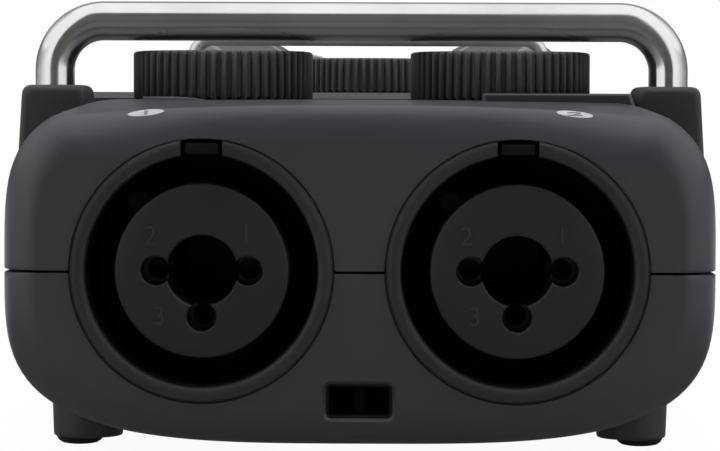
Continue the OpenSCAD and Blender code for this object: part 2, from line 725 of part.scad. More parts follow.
// Boards and what they carry
module main_board() color(board_green) difference() {
  block(0, board_d + board_l / 2, board_z, board_w, board_l, board_t);
  for (s = [-1, 1], d = board_post_ds) peg(s * board_post_x, d, 0, board_screw_r + seat_gap, deck_z);
}
module input_board() color(board_green) difference() {
  block(0, input_d + input_l / 2, input_z, input_w, input_l, input_t);
  for (s = [-1, 1]) peg(s * hang_post_x, hang_post_d, 0, board_screw_r + seat_gap, deck_z);
}
module gain_pots() color(grey_metal) for (s = [-1, 1]) difference() {
  block(s * knob_x, knob_d, pot_z, pot_w, pot_w, pot_h);
  peg(s * knob_x, knob_d, shaft_end_z - seat_gap, shaft_r + shaft_gap, pot_h);
}
module lcd_panel() color("#5a6a4a")
  block(0, window_d, board_top_z, lcd_w, lcd_l, deck_z - window_t - seat_gap - board_top_z);
module display_window() color("#0c0d10")
  soft_block(0, window_d, deck_z - window_t, window_w, window_l, window_t, 2);
module switch(x, d) {
  block(x, d, board_top_z, switch_w, switch_w - 1, switch_h - 1);
  peg(x, d, board_top_z, key_stem_r + 0.2, switch_h);
}
module key_switches() color("#3a3a3c") {
  for (x = transport_xs) switch(x, transport_d);
  for (x = track_xs) switch(x, track_d);
  block(side_switch_x - menu_switch_w / 2, menu_d, side_z - side_switch_drop, menu_switch_w,
    menu_switch_w, board_z - side_z + side_switch_drop);
  peg(scroll_x, scroll_d, side_z - scroll_h / 2, wheel_axle_r, board_z - side_z + scroll_h / 2);
  peg(rocker_pivot_x, rocker_d, side_z - rocker_h / 2, wheel_axle_r - 0.2,
    board_z - side_z + rocker_h / 2);
  block(power_switch_w / 2 - side_switch_x, power_d, side_z - side_switch_drop, power_switch_w,
    power_switch_l, board_z - side_z + side_switch_drop);
}

// Gain knobs and the microphone wheel turn their control's shaft
module ribbed_knob(x, d, z, r, h, ribs, low_z) {
  at(x, d, z) linear_extrude(h - 0.5) polygon(fluted(r, ribs));
  peg(x, d, z + h - 0.6, r - 1.5 * rib_depth, 0.6);
  peg(x, d, low_z, shaft_r, z - low_z + reach);
}
module gain_knob(s) color(black)
  ribbed_knob(s * knob_x, knob_d, knob_z, knob_r, knob_h, knob_ribs, shaft_end_z);

// Keys on the deck
module key_stem(x, d) peg(x, d, switch_top_z + key_travel + key_rest_gap, key_stem_r,
  key_flange_z - switch_top_z - key_travel);
module square_key(x, d) {
  soft_block(x, d, key_flange_z, key_w, key_l, deck_z + key_proud - key_flange_z, 1);
  block(x, d, key_flange_z, key_w + 2 * key_flange, key_l + 2 * key_flange, key_flange_t);
  key_stem(x, d);
}
module rewind_key() color(black) square_key(transport_xs[0], transport_d);
module stop_key() color(black) square_key(transport_xs[1], transport_d);
module play_key() color(black) square_key(transport_xs[3], transport_d);
module forward_key() color(black) square_key(transport_xs[4], transport_d);
module record_key() color("#5a1a1a") {
  peg(transport_xs[2], transport_d, key_flange_z, record_r, deck_z + key_proud - key_flange_z);
  peg(transport_xs[2], transport_d, key_flange_z, record_r + slide_gap + 0.1, key_flange_t);
  key_stem(transport_xs[2], transport_d);
}
module track_key(i) color(black) square_key(track_xs[i], track_d);

// Side controls
module menu_key() color(black) {
  block((side_face + inner_x) / 2 - 0.5, menu_d, side_z - menu_h / 2, side_face - inner_x + 1,
    menu_l, menu_h);
  block(inner_x - side_key_drop - side_key_flange_t / 2, menu_d, side_z - menu_h / 2 - key_flange,
    side_key_flange_t, menu_l + 2 * key_flange, menu_h + 2 * key_flange);
  rod_across(side_switch_x + key_travel + key_rest_gap, menu_d, side_z, key_stem_r,
    inner_x - side_switch_x - key_travel - key_rest_gap);
}
module scroll_wheel() color(black) at(scroll_x, scroll_d, side_z - scroll_h / 2) difference() {
  linear_extrude(scroll_h) polygon(fluted(scroll_r, 32));
  translate([0, 0, -reach]) cylinder(r = wheel_axle_r + shaft_gap, h = scroll_h + 2 * reach);
}
module power_switch() color(black) {
  block(-(side_face + inner_x) / 2 + 0.5, power_d, side_z - power_h / 2, side_face - inner_x + 1,
    power_l, power_h);
  block(-(inner_x - side_key_drop - side_key_flange_t / 2), power_d, side_z - power_h / 2 - key_flange,
    side_key_flange_t, power_l + 3, power_h + 2 * key_flange);
}
module volume_rocker() color(black) difference() {
  union() {
    block(-side_face + rocker_t / 2, rocker_d, side_z - rocker_h / 2, rocker_t, rocker_l, rocker_h);
    block((rocker_pivot_x - side_face) / 2, rocker_d, side_z - rocker_h / 2,
      side_face + rocker_pivot_x, 2 * rocker_hub_r, rocker_h);
    peg(rocker_pivot_x, rocker_d, side_z - rocker_h / 2, rocker_hub_r, rocker_h);
  }
  peg(rocker_pivot_x, rocker_d, 0, wheel_axle_r - 0.2 + shaft_gap, deck_z);
}
module audio_jacks() color("#2a2a2c") for (d = [headphone_d, line_out_d]) difference() {
  union() {
    block(-inner_x + mini_body_l / 2 + side_key_drop, d, board_z - mini_body_w, mini_body_l,
      mini_body_w + 1,
      mini_body_w);
    rod_across(-side_face, d, board_z - mini_body_w / 2, mini_nose_r, wall + reach);
  }
  rod_across(-side_face - reach, d, board_z - mini_body_w / 2, mini_r, mini_l + reach);
}
module usb_port() color(grey_metal) difference() {
  block(side_face - usb_l / 2, usb_d, board_z - usb_h, usb_l, usb_w, usb_h);
  block(side_face - usb_l / 2 + reach, usb_d, board_z - usb_h + usb_wall, usb_l, usb_w - 2 * usb_wall,
    usb_h - 2 * usb_wall);
}
module card_slot() color(grey_metal) difference() {
  block(inner_x - 0.6 - card_slot_l / 2, card_d, board_z - card_slot_h - 1, card_slot_l,
    card_slot_w + 2, card_slot_h + 1);
  block(inner_x - card_slot_l / 2, card_d, board_z - card_slot_h - 0.5, card_slot_l, card_slot_w,
    card_slot_h);
}
module card_door() color(black) {
  block(card_hinge_x, card_d, card_hinge_z, 2 * card_hinge_r, card_door_l, card_door_h);
  rod_in(card_hinge_x, card_d - card_door_l / 2 - card_pin_l, card_hinge_z, card_hinge_r,
    card_door_l + 2 * card_pin_l);
}

// Cells, their contacts and their cover
module battery_cells() color("#8a8c90") for (s = [-1, 1]) {
  rod_in(s * cell_x, cell_d + (s > 0 ? nub_l : 0), cell_z, cell_r, cell_l - nub_l);
  rod_in(s * cell_x, cell_d + (s > 0 ? 0 : cell_l - nub_l), cell_z, nub_r, nub_l);
}
module battery_contacts() color(grey_metal) for (s = [-1, 1], far = [0, 1]) {
  block(s * cell_x, cell_d + far * cell_l + (2 * far - 1) * (contact_pad_l + contact_t / 2),
    cell_z - contact_h / 2, 1.2 * contact_h,
    contact_t, contact_h);
  rod_in(s * cell_x, cell_d + far * cell_l - (1 - far) * contact_pad_l, cell_z, contact_pad_r,
    contact_pad_l);
}
module battery_cover() color(slate) intersection() {
  difference() {
    outer_form();
    inner_form();
  }
  cover_zone(0, -reach, floor_z + 0.1);
}
module speaker() color("#26262a") {
  peg(0, speaker_d, floor_z + 0.1, speaker_r, speaker_h / 2);
  peg(0, speaker_d, floor_z + 0.1, speaker_r / 2, speaker_h);
}
module tripod_nut() color("#b08d45") difference() {
  union() {
    peg(0, tripod_d, nut_z + reach, nut_r, nut_h - reach);
    peg(0, tripod_d, nut_z, tripod_r + 0.9, nut_h);
  }
  peg(0, tripod_d, nut_z - reach, tripod_r, tripod_l + reach);
}

// Microphone module
module module_socket() color(black) difference() {
  block(0, case_end_d - wall - socket_l / 2, plug_z - slide_gap - socket_wall,
    plug_w + 2 * plug_rim, socket_l,
    board_z - plug_z + slide_gap + socket_wall);
  block(0, case_end_d - wall - socket_l / 2 + socket_wall, plug_z - slide_gap,
    plug_w + 2 * slide_gap, socket_l,
    plug_h + 2 * slide_gap);
}
module module_plug() color(black) {
  block(0, module_d - plug_l / 2 + wall, plug_z, plug_w, plug_l + 2 * wall, plug_h);
  block(0, module_d + wall + plug_rim / 2, plug_z - plug_rim, plug_w + 2 * plug_rim, plug_rim,
    plug_h + 2 * plug_rim);
}
module module_case() color(slate) difference() {
  union() {
    difference() {
      case_form(module_inset, module_d, module_end_d, far_r, module_r);
      case_form(module_inset + wall, module_d + wall, module_end_d - wall, far_r, module_r);
    }
    peg(0, wheel_d, module_deck_z - root, collar_r, collar_z - module_deck_z + root);
    for (s = [-1, 1]) peg(s * hoop_x, hoop_d, hoop_end_z - 3, hoop_boss_r, hoop_boss_z - hoop_end_z + 3);
  }
  for (s = [-1, 1]) {
    peg(s * hoop_x, hoop_d, hoop_end_z, hoop_r + seat_gap, deck_z);
    block(s * case_w / 2, latch_d, latch_z - latch_h / 2 - slide_gap, 4 * wall, latch_l + 2 * slide_gap,
      latch_h + 2 * slide_gap);
  }
  peg(0, wheel_d, hoop_end_z, shaft_r + slide_gap, deck_z);
  block(0, module_d, plug_z - seat_gap, plug_w + 2 * seat_gap, 4 * wall, plug_h + 2 * seat_gap);
}
module module_latch(s) color(black) {
  block(s * (latch_x + latch_flange_x - 1) / 2, latch_d, latch_z - latch_h / 2,
    latch_x - latch_flange_x + 1,
    latch_l, latch_h);
  block(s * (latch_flange_x - 0.5), latch_d, latch_z - latch_h / 2 - key_flange, 1,
    latch_l + 2 * key_flange,
    latch_h + 2 * key_flange);
}
wheel_pot_z = module_deck_z - wall - wheel_pot_h;
module wheel_pot() color(grey_metal) difference() {
  block(0, wheel_d, wheel_pot_z, pot_w, pot_w, wheel_pot_h);
  peg(0, wheel_d, wheel_pot_z + 1, shaft_r + shaft_gap, wheel_pot_h);
}
module mic_wheel() color(black)
  ribbed_knob(0, wheel_d, wheel_z, wheel_r, wheel_h, knob_ribs, wheel_pot_z + 1 + seat_gap);
module wheel_guard() color(bright) arch(hoop_x, hoop_z, hoop_r, hoop_bend, hoop_end_z, hoop_d);

// Microphones, crossed in plan
module on_mic(s) at(s * mic_x, mic_d, mic_z) rotate([0, 0, s * mic_angle]) rotate([-90, 0, 0]) children();
module mic_barrel(s) color(bright) on_mic(s) translate([0, 0, -mic_barrel_l / 2]) difference() {
  cylinder(r = barrel_r, h = mic_barrel_l);
  translate([0, 0, barrel_wall]) cylinder(r = barrel_r - barrel_wall, h = mic_barrel_l);
}
module mic_grille(s) color(grey_metal) on_mic(s) difference() {
  union() {
    translate([0, 0, mic_barrel_l / 2 - grille_tail]) cylinder(r = grille_r, h = grille_l + grille_tail);
    translate([0, 0, dome_at]) sphere(grille_r);
    translate([0, 0, mic_barrel_l / 2 - grille_tail])
      cylinder(r = barrel_r - barrel_wall - seat_gap, h = 1);
  }
  translate([0, 0, mic_barrel_l / 2 - grille_tail - reach])
    cylinder(r = grille_r - grille_wall, h = grille_l + grille_tail + reach);
  translate([0, 0, dome_at]) sphere(grille_r - grille_wall);
}
module mic_capsules() color("#8d7a4a") for (s = [-1, 1]) on_mic(s)
  translate([0, 0, mic_barrel_l / 2]) cylinder(r = grille_r - grille_wall - seat_gap, h = grille_l - 1);
module shock_rings() color("#18181a") for (s = [-1, 1]) difference() {
  on_mic(s) translate([0, 0, ring_at]) cylinder(r = barrel_r + ring_wall, h = ring_l);
  on_mic(s) translate([0, 0, ring_at - reach]) cylinder(r = barrel_r + seat_gap, h = ring_l + 2 * reach);
  block(s * mic_x, mic_d, mic_z + 2, 6 * barrel_r, 6 * barrel_r, 6 * barrel_r);
}
module mic_arms() color(slate) for (s = [-1, 1]) difference() {
  block(s * mic_x, (module_end_d + arm_end_d) / 2, arm_low_z, arm_w, arm_end_d - module_end_d,
    arm_top_z - arm_low_z);
  on_mic(s) translate([0, 0, -2 * barrel_r]) cylinder(r = barrel_r + ring_wall + seat_gap,
    h = 4 * barrel_r);
}

upper_case();
lower_case();
guard_bar();
guard_posts();
jack_shell(-1);  // jack_shell_1
jack_shell(1);  // jack_shell_2
jack_insert(-1);  // jack_insert_1
jack_insert(1);  // jack_insert_2
jack_contacts();
release_tab(-1);  // release_tab_1
release_tab(1);  // release_tab_2
strap_pin();
rubber_feet();
main_board();
input_board();
gain_pots();
gain_knob(-1);  // gain_knob_1
gain_knob(1);  // gain_knob_2
lcd_panel();
display_window();
key_switches();
rewind_key();
stop_key();
record_key();
play_key();
forward_key();
track_key(0);  // track_key_1
track_key(1);  // track_key_2
track_key(2);  // track_key_3
menu_key();
scroll_wheel();
power_switch();
volume_rocker();
audio_jacks();
usb_port();
card_slot();
card_door();
battery_cells();
battery_contacts();
battery_cover();
speaker();
tripod_nut();
case_screws();
board_screws();
module_socket();
module_case();
module_plug();
module_latch(-1);  // module_latch_1
module_latch(1);  // module_latch_2
wheel_pot();
mic_wheel();
wheel_guard();
mic_arms();
shock_rings();
mic_barrel(-1);  // mic_barrel_1
mic_barrel(1);  // mic_barrel_2
mic_grille(-1);  // mic_grille_1
mic_grille(1);  // mic_grille_2
mic_capsules();
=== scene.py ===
"""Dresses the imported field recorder: shells, jacks, knobs, keys, microphones, finishes and the stage.

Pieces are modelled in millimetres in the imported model's own frame, and turned into metres when they
are finished. A depth is measured along +Y from the face of the jack rings.
"""

import math
from functools import partial

import bmesh
import bpy
from mathutils import Matrix, Vector
from mathutils.bvhtree import BVHTree


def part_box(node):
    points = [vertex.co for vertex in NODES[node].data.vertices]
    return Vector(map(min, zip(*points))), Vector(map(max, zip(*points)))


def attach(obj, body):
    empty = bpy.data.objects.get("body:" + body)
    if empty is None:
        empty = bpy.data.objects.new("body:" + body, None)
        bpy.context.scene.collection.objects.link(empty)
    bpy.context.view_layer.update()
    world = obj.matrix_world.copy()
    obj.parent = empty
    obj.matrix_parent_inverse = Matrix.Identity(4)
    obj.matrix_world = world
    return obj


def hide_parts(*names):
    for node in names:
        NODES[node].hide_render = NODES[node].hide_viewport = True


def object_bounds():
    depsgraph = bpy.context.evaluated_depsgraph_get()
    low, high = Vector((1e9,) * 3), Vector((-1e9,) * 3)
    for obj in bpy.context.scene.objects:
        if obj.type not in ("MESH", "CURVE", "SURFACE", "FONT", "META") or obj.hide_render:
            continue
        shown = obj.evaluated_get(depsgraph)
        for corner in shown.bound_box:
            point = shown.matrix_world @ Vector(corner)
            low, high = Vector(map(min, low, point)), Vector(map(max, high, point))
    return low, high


bl_info = {
    "name": "Field recorder",
    "version": (1, 0, 0),
    "blender": (4, 5, 0),
    "location": "View3D > Sidebar > Recorder",
    "description": "Builds the visible pieces and finishes of a portable field recorder",
    "category": "Object",
}

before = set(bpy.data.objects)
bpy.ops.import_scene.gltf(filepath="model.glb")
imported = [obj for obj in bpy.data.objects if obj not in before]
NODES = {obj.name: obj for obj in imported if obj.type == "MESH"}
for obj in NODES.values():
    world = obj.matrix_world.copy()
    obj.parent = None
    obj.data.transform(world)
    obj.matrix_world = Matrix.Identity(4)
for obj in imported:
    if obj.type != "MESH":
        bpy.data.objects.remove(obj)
CAD_BOX = [[float(value) for value in corner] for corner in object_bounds()]
MM = 0.001
SIDES = {"1": -1, "2": 1}
TO_FRONT = Matrix.Rotation(math.pi / 2, 4, "X")
TO_BACK = Matrix.Rotation(-math.pi / 2, 4, "X")
TO_SIDE = Matrix.Rotation(math.pi / 2, 4, "Y")


# Places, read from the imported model

def box_mm(name):
    """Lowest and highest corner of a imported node, in millimetres."""
    low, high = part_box(name)
    return low / MM, high / MM


def middle(name):
    """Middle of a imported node's box, in millimetres."""
    low, high = box_mm(name)
    return (low + high) / 2


def extent(name):
    """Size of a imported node's box, in millimetres."""
    low, high = box_mm(name)
    return high - low


def heights(name):
    """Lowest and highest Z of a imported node, in millimetres."""
    return [corner.z for corner in box_mm(name)]


FRONT_Y = CAD_BOX[0][1] / MM
CASE_LOW, CASE_HIGH = box_mm("lower_case")
HALF_W = (CASE_HIGH.x - CASE_LOW.x) / 2
CASE_NEAR = CASE_LOW.y - FRONT_Y
CASE_FAR = CASE_HIGH.y - FRONT_Y
BELLY_Z = CASE_LOW.z
PARTING_Z, PANEL_Z = heights("upper_case")
DECK_Z = box_mm("display_window")[1].z


def y_at(depth):
    """Y of a depth behind the jack rings' face."""
    return FRONT_Y + depth


def depth_of(name):
    """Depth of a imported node's middle."""
    return middle(name).y - FRONT_Y


# Sizes and colours that a user would change

def number(name, description, default, **kind):
    """A number property, which its kind can make an angle or a length in metres."""
    return bpy.props.FloatProperty(name=name, description=description, default=default, **kind)


def length(name, description, default):
    """A length property in millimetres."""
    return number(name, description, default, min=0.0)


def whole(name, description, default):
    """A whole number property."""
    return bpy.props.IntProperty(name=name, description=description, default=default, min=1)


def colour(name, description, default):
    """A linear colour property."""
    return bpy.props.FloatVectorProperty(
        name=name, description=description, default=default, size=3, min=0.0, max=1.0, subtype="COLOR")


class CaseSizes(bpy.types.PropertyGroup):
    """Form of the shells, in millimetres."""

    wall: length("Wall", "Thickness of the shells", 2.2)
    crown_z: length("Crown", "Height at which the shoulders would close above the deck", 34.3)
    upper_square: number("Upper squareness", "Upper outline's power", 4.2)
    lower_square: number("Lower squareness", "Lower outline's power", 3.5)
    near_round: length("Near rounding", "Rounding of the jack end", 3.4)
    nose_round: length("Nose rounding", "Rounding in the middle of the jack end's upper edge", 1.45)
    far_round: length("Far rounding", "Rounding of the end before the module", 2.0)
    module_inset: length("Module inset", "How much smaller the module is", 1.2)
    module_round: length("Module rounding", "Rounding of the module's far end", 6.0)
    crest_d: length("Crest depth", "Depth of the crest before the knobs", 12.0)
    crest_z: length("Crest height", "Height of the crest before the knobs", 32.95)
    nose_z: length("Nose height", "Height that the front slope reaches at the jack end", 32.38)
    nose_arch: length("Nose arch", "How much lower the front slope ends before the knobs' outer edges", 1.0)
    plateau_d: length("Plateau depth", "Depth at which the deck's step ends", 31.6)
    step_l: length("Step", "Length of the deck's step up to the control panel", 0.6)
    panel_w: length("Panel width", "Width of the control panel", 57.2)
    panel_d: length("Panel depth", "Depth at which the control panel starts", 30.6)
    panel_in: length("Panel inset", "How far the control panel ends before the case", 3.4)
    seam: length("Seam", "Open seam between the shells", 0.24)
    points: whole("Outline points", "Points round a section", 192)


class PartSizes(bpy.types.PropertyGroup):
    """Details of the pieces, in millimetres."""

    gain_ribs: whole("Gain ribs", "Ribs round a gain knob", 54)
    wheel_ribs: whole("Wheel ribs", "Ribs round the microphone wheel", 54)
    rib_depth: length("Rib depth", "How far a rib stands out", 0.5)
    key_gap: length("Key gap", "Gap round a key", 0.3)
    ring_gap: length("Ring gap", "Gap round a jack's ring", 0.02)
    contact_r: length("Contact hole", "Radius of a contact hole", 1.4)
    contact_circle: length("Contact circle", "Radius that the contact holes lie on", 4.3)
    phone_r: length("Phone hole", "Radius of the phone plug's hole", 3.35)
    badge_r: length("Badge", "Radius of a channel badge", 1.7)


class Colours(bpy.types.PropertyGroup):
    """Finishes' colours, linear."""

    slate: colour("Slate", "Soft-touch shells", (0.0243, 0.0253, 0.0297))
    jack: colour("Jack black", "Moulded jacks", (0.0145, 0.0145, 0.015))
    knob: colour("Knob black", "Ribbed knobs", (0.04, 0.04, 0.0403))
    post: colour("Post black", "Guard posts", (0.029, 0.029, 0.031))
    bright: colour("Bright metal", "Guard bar and hoop", (0.83, 0.825, 0.81))
    key: colour("Key grey", "Keys and switches", (0.055, 0.056, 0.062))
    record: colour("Record red", "Record key", (0.27, 0.012, 0.012))
    print_white: colour("Print white", "Signs on the keys", (0.72, 0.72, 0.74))
    rubber: colour("Rubber", "Feet and microphone mounts", (0.012, 0.012, 0.012))
    floor: colour("Floor", "Pale floor", (0.74, 0.74, 0.74))


class StageSizes(bpy.types.PropertyGroup):
    """Camera and lights. Lengths are in metres."""

    camera_back: number("Camera distance", "Before the jack rings", 0.28, unit="LENGTH")
    camera_x: number("Camera side", "To the right of the middle", 0.0022, unit="LENGTH")
    camera_z: number("Camera height", "Above the surface", 0.0332, unit="LENGTH")
    pitch: number("Pitch", "Downward tilt", math.radians(2.43), subtype="ANGLE")
    roll: number("Roll", "Turn about the view", math.radians(0.2), subtype="ANGLE")
    focal_px: number("Focal length", "In pixels of the photo", 3025.0)
    photo_w: whole("Photo width", "In pixels", 720)
    middle_px: number("Middle", "Where the recorder's middle lies, in pixels", 359.5)
    fill: number("Fill", "Light from all round", 0.12)
    lamps: number("Lamps", "Share of the lamps' light", 1.0)


class RecorderSettings(bpy.types.PropertyGroup):
    """All sizes and colours."""

    case: bpy.props.PointerProperty(type=CaseSizes, name="Case", description="Form of the shells")
    parts: bpy.props.PointerProperty(type=PartSizes, name="Parts", description="Details of the pieces")
    tones: bpy.props.PointerProperty(type=Colours, name="Colours", description="Finishes' colours")
    stage: bpy.props.PointerProperty(type=StageSizes, name="Stage", description="Camera and lights")


# Mesh tools, in millimetres

SOFT_STEPS = 4
CORNER_STEPS = 6


def circle(count):
    """Even angles round a full turn."""
    return [2 * math.pi * k / count for k in range(count)]


def quarter(steps):
    """Even angles of a quarter turn, with both its ends."""
    return [math.pi / 2 * k / steps for k in range(steps + 1)]


def bridge(bm, near, far):
    """Faces between two rings of points. A ring of one point is a pole."""
    count = max(len(near), len(far))
    for i in range(count):
        j = (i + 1) % count
        corners = (near[i % len(near)], near[j % len(near)], far[j % len(far)], far[i % len(far)])
        corners = list(dict.fromkeys(corners))
        if len(corners) > 2:
            bm.faces.new(corners)


def skin(rings, loop=False):
    """Bridges equal closed rings into a closed mesh, capped at its ends unless it loops."""
    bm = bmesh.new()
    rows = [[bm.verts.new(point) for point in ring] for ring in rings]
    for near, far in zip(rows, rows[1:] + rows[:1] if loop else rows[1:]):
        bridge(bm, near, far)
    if not loop:
        bm.faces.new(list(reversed(rows[0])))
        bm.faces.new(rows[-1])
    bmesh.ops.recalc_face_normals(bm, faces=bm.faces)
    return bm


def soften(points, radius):
    """Rounds the inner corners of an open line of 2D points."""
    out = [Vector(points[0])]
    for before, corner, after in zip(points, points[1:], points[2:]):
        before, corner, after = Vector(before), Vector(corner), Vector(after)
        back, ahead = before - corner, after - corner
        reach = min(radius, back.length * 0.48, ahead.length * 0.48)
        start, end = corner + back.normalized() * reach, corner + ahead.normalized() * reach
        for k in range(SOFT_STEPS + 1):
            t = k / SOFT_STEPS
            out.append(start * (1 - t) ** 2 + corner * 2 * t * (1 - t) + end * t * t)
    out.append(Vector(points[-1]))
    return out


def lathe(profile, radius=0.0, segments=96, loop=False):
    """Turns a profile of (radius, height) points about Z. Ends on the axis close into poles."""
    line = soften(profile, radius) if radius else [Vector(point) for point in profile]
    turns = [(math.cos(a), math.sin(a)) for a in circle(segments)]
    if loop:
        return skin([[(p.x * c, p.x * s, p.y) for p in line] for c, s in turns], True)
    bm = bmesh.new()
    rows = []
    for p in line:
        ring = [(p.x * c, p.x * s, p.y) for c, s in turns] if p.x > 1e-6 else [(0, 0, p.y)]
        rows.append([bm.verts.new(point) for point in ring])
    for near, far in zip(rows, rows[1:]):
        bridge(bm, near, far)
    bmesh.ops.recalc_face_normals(bm, faces=bm.faces)
    return bm


def soft_rect(width, depth, radius):
    """Points round a rectangle with round corners, about the origin."""
    radius = max(min(radius, width / 2 - 1e-3, depth / 2 - 1e-3), 1e-3)
    points = []
    for corner, (sx, sy) in enumerate(((1, 1), (-1, 1), (-1, -1), (1, -1))):
        for k in range(CORNER_STEPS + 1):
            a = math.pi / 2 * (corner + k / CORNER_STEPS)
            points.append((sx * (width / 2 - radius) + radius * math.cos(a),
                           sy * (depth / 2 - radius) + radius * math.sin(a)))
    return points


def slug(width, depth, radius, low, high, edge=0.0, foot=0.0, steps=4):
    """A rounded block along Z. Edge softens its top, or flares it if negative, and foot softens its base."""
    levels = [(0.0, low)]
    if foot:
        levels = [(foot * (1 - math.sin(a)), low + foot * (1 - math.cos(a))) for a in quarter(steps)]
    if edge > 0:
        levels += [(edge * (1 - math.cos(a)), high - edge + edge * math.sin(a)) for a in quarter(steps)]
    elif edge < 0:
        levels += [(0.0, high + edge), (edge, high), (edge, high - 3 * edge)]
    else:
        levels.append((0.0, high))
    rings = []
    for inset, z in levels:
        outline = soft_rect(width - 2 * inset, depth - 2 * inset, radius - inset)
        rings.append([(x, y, z) for x, y in outline])
    return skin(rings)


def rod(radius, low, high, edge=0.0, segments=96):
    """A turned rod along Z. A positive edge softens its top, a negative one flares it."""
    if edge < 0:
        wide, top = radius - edge, high - 3 * edge
        return lathe([(0, low), (radius, low), (radius, high + edge), (wide, high), (wide, top), (0, top)],
                     0, segments)
    return lathe([(0, low), (radius, low), (radius, high), (0, high)], edge, segments)


def plate(outline, low, high):
    """A flat plate from an outline in X and Y."""
    return skin([[(x, y, z) for x, y in outline] for z in (low, high)])


def sweep(path, radius, segments):
    """A round tube along a planar path in X and Z, given as 3D points."""
    rings = []
    across = Vector((0, 1, 0))
    for i, point in enumerate(path):
        ahead = (path[min(i + 1, len(path) - 1)] - path[max(i - 1, 0)]).normalized()
        out = ahead.cross(across).normalized()
        rings.append([point + radius * (math.cos(a) * across + math.sin(a) * out) for a in circle(segments)])
    return skin(rings)


def moved(bm, x, y, z=0.0):
    """Moves a mesh by millimetres."""
    bmesh.ops.translate(bm, verts=bm.verts, vec=(x, y, z))
    return bm


def over(name, bm, z=0.0):
    """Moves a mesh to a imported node's place on the plan."""
    return moved(bm, middle(name).x, middle(name).y, z)


def turned(bm, matrix):
    """Applies a matrix to a mesh."""
    bmesh.ops.transform(bm, matrix=matrix, verts=bm.verts)
    return bm


def joined(*parts):
    """Several meshes as one."""
    both = bmesh.new()
    for part in parts:
        holder = bpy.data.meshes.new("part")
        part.to_mesh(holder)
        part.free()
        both.from_mesh(holder)
        bpy.data.meshes.remove(holder)
    return both


def along_depth(x, depth, z):
    """Places a mesh whose Z points towards the jack end at a depth."""
    return Matrix.Translation((x, y_at(depth), z)) @ TO_FRONT


def out_of_side(side, depth, z):
    """Places a mesh on the case's side: its Z points outwards, its X along the depth and its Y up."""
    turn = Matrix(((0, 0, side, 0), (side, 0, 0, 0), (0, 1, 0, 0), (0, 0, 0, 1)))
    return Matrix.Translation((side * HALF_W, y_at(depth), z)) @ turn


def side_span(name, side):
    """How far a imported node's back and face stand out of the case's side."""
    low, high = box_mm(name)
    back, face = (low.x, high.x) if side > 0 else (-high.x, -low.x)
    return back - HALF_W, face - HALF_W


def corners_of(name, radius):
    """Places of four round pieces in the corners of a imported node's box."""
    low, high = box_mm(name)
    return [(x, y) for x in (low.x + radius, high.x - radius) for y in (low.y + radius, high.y - radius)]


def solid(bm, name="work"):
    """A working object from a mesh."""
    mesh = bpy.data.meshes.new(name)
    bm.to_mesh(mesh)
    bm.free()
    made = bpy.data.objects.new(name, mesh)
    bpy.context.scene.collection.objects.link(made)
    return made


def plain(obj):
    """Turns an object's modifiers into its mesh."""
    depsgraph = bpy.context.evaluated_depsgraph_get()
    mesh = bpy.data.meshes.new_from_object(obj.evaluated_get(depsgraph))
    obj.modifiers.clear()
    old, obj.data = obj.data, mesh
    bpy.data.meshes.remove(old)
    return obj


def drop(obj):
    """Removes a working object and its mesh."""
    mesh = obj.data
    bpy.data.objects.remove(obj)
    bpy.data.meshes.remove(mesh)


def melted(obj):
    """The mesh of a working object, which is used up."""
    bm = bmesh.new()
    bm.from_mesh(obj.data)
    drop(obj)
    return bm


def carve(obj, *tools, operation="DIFFERENCE"):
    """Cuts, joins or clips an object with meshes, which are used up."""
    for bm in tools:
        tool = solid(bm, "tool")
        step = obj.modifiers.new("carve", "BOOLEAN")
        step.operation = operation
        step.solver = "EXACT"
        step.object = tool
        plain(obj)
        drop(tool)
        if not obj.data.polygons:
            raise RuntimeError(f"carving left nothing of {obj.name}")
    return obj


def finished(made, name, cover, body, slot, *replaced, sharp=32, weighted=False):
    """Turns a mesh or working object into a piece: metres, shading, finish and body. Its slot is not used."""
    piece = made if isinstance(made, bpy.types.Object) else solid(made)
    piece.name = name
    piece.data.name = name
    piece.data.transform(Matrix.Scale(MM, 4))
    piece.data.materials.clear()
    piece.data.materials.append(FINISHES[cover])
    piece.data.shade_smooth()
    piece.data.set_sharp_from_angle(angle=math.radians(sharp))
    if weighted:
        even = piece.modifiers.new("even", "WEIGHTED_NORMAL")
        even.keep_sharp = True
    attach(piece, body)
    if replaced:
        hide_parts(*replaced)
    return piece


def lettering(text, height, thick):
    """A numeral as a flat solid mesh about the origin, in the XY plane."""
    curve = bpy.data.curves.new("numeral", "FONT")
    curve.body = text
    curve.align_x = "CENTER"
    curve.align_y = "CENTER"
    curve.size = height * 1.4
    curve.extrude = thick / 2
    curve.resolution_u = 4
    holder = bpy.data.objects.new("numeral", curve)
    bpy.context.scene.collection.objects.link(holder)
    depsgraph = bpy.context.evaluated_depsgraph_get()
    mesh = bpy.data.meshes.new_from_object(holder.evaluated_get(depsgraph))
    bm = bmesh.new()
    bm.from_mesh(mesh)
    bpy.data.meshes.remove(mesh)
    bpy.data.objects.remove(holder)
    bpy.data.curves.remove(curve)
    bmesh.ops.remove_doubles(bm, verts=bm.verts, dist=1e-4)
    bmesh.ops.recalc_face_normals(bm, faces=bm.faces)
    return bm


HALF_LEAN = 0.7


def drape(bm, surface, lift):
    """Lays a flat mark, drawn as seen from the front, on a piece. It stands out halfway up and forwards."""
    tree = BVHTree.FromObject(surface, bpy.context.evaluated_depsgraph_get())
    for vert in bm.verts:
        x, height, out = vert.co
        start = Vector((x, 2 * FRONT_Y, height)) * MM
        hit = tree.ray_cast(start, Vector((0, 1, 0)))[0]
        if hit is None:
            raise RuntimeError("a printed mark lies off the surface that carries it")
        rise = HALF_LEAN * (out + lift)
        vert.co = (x, hit.y / MM - rise, height + rise)
    return bm


# Node trees

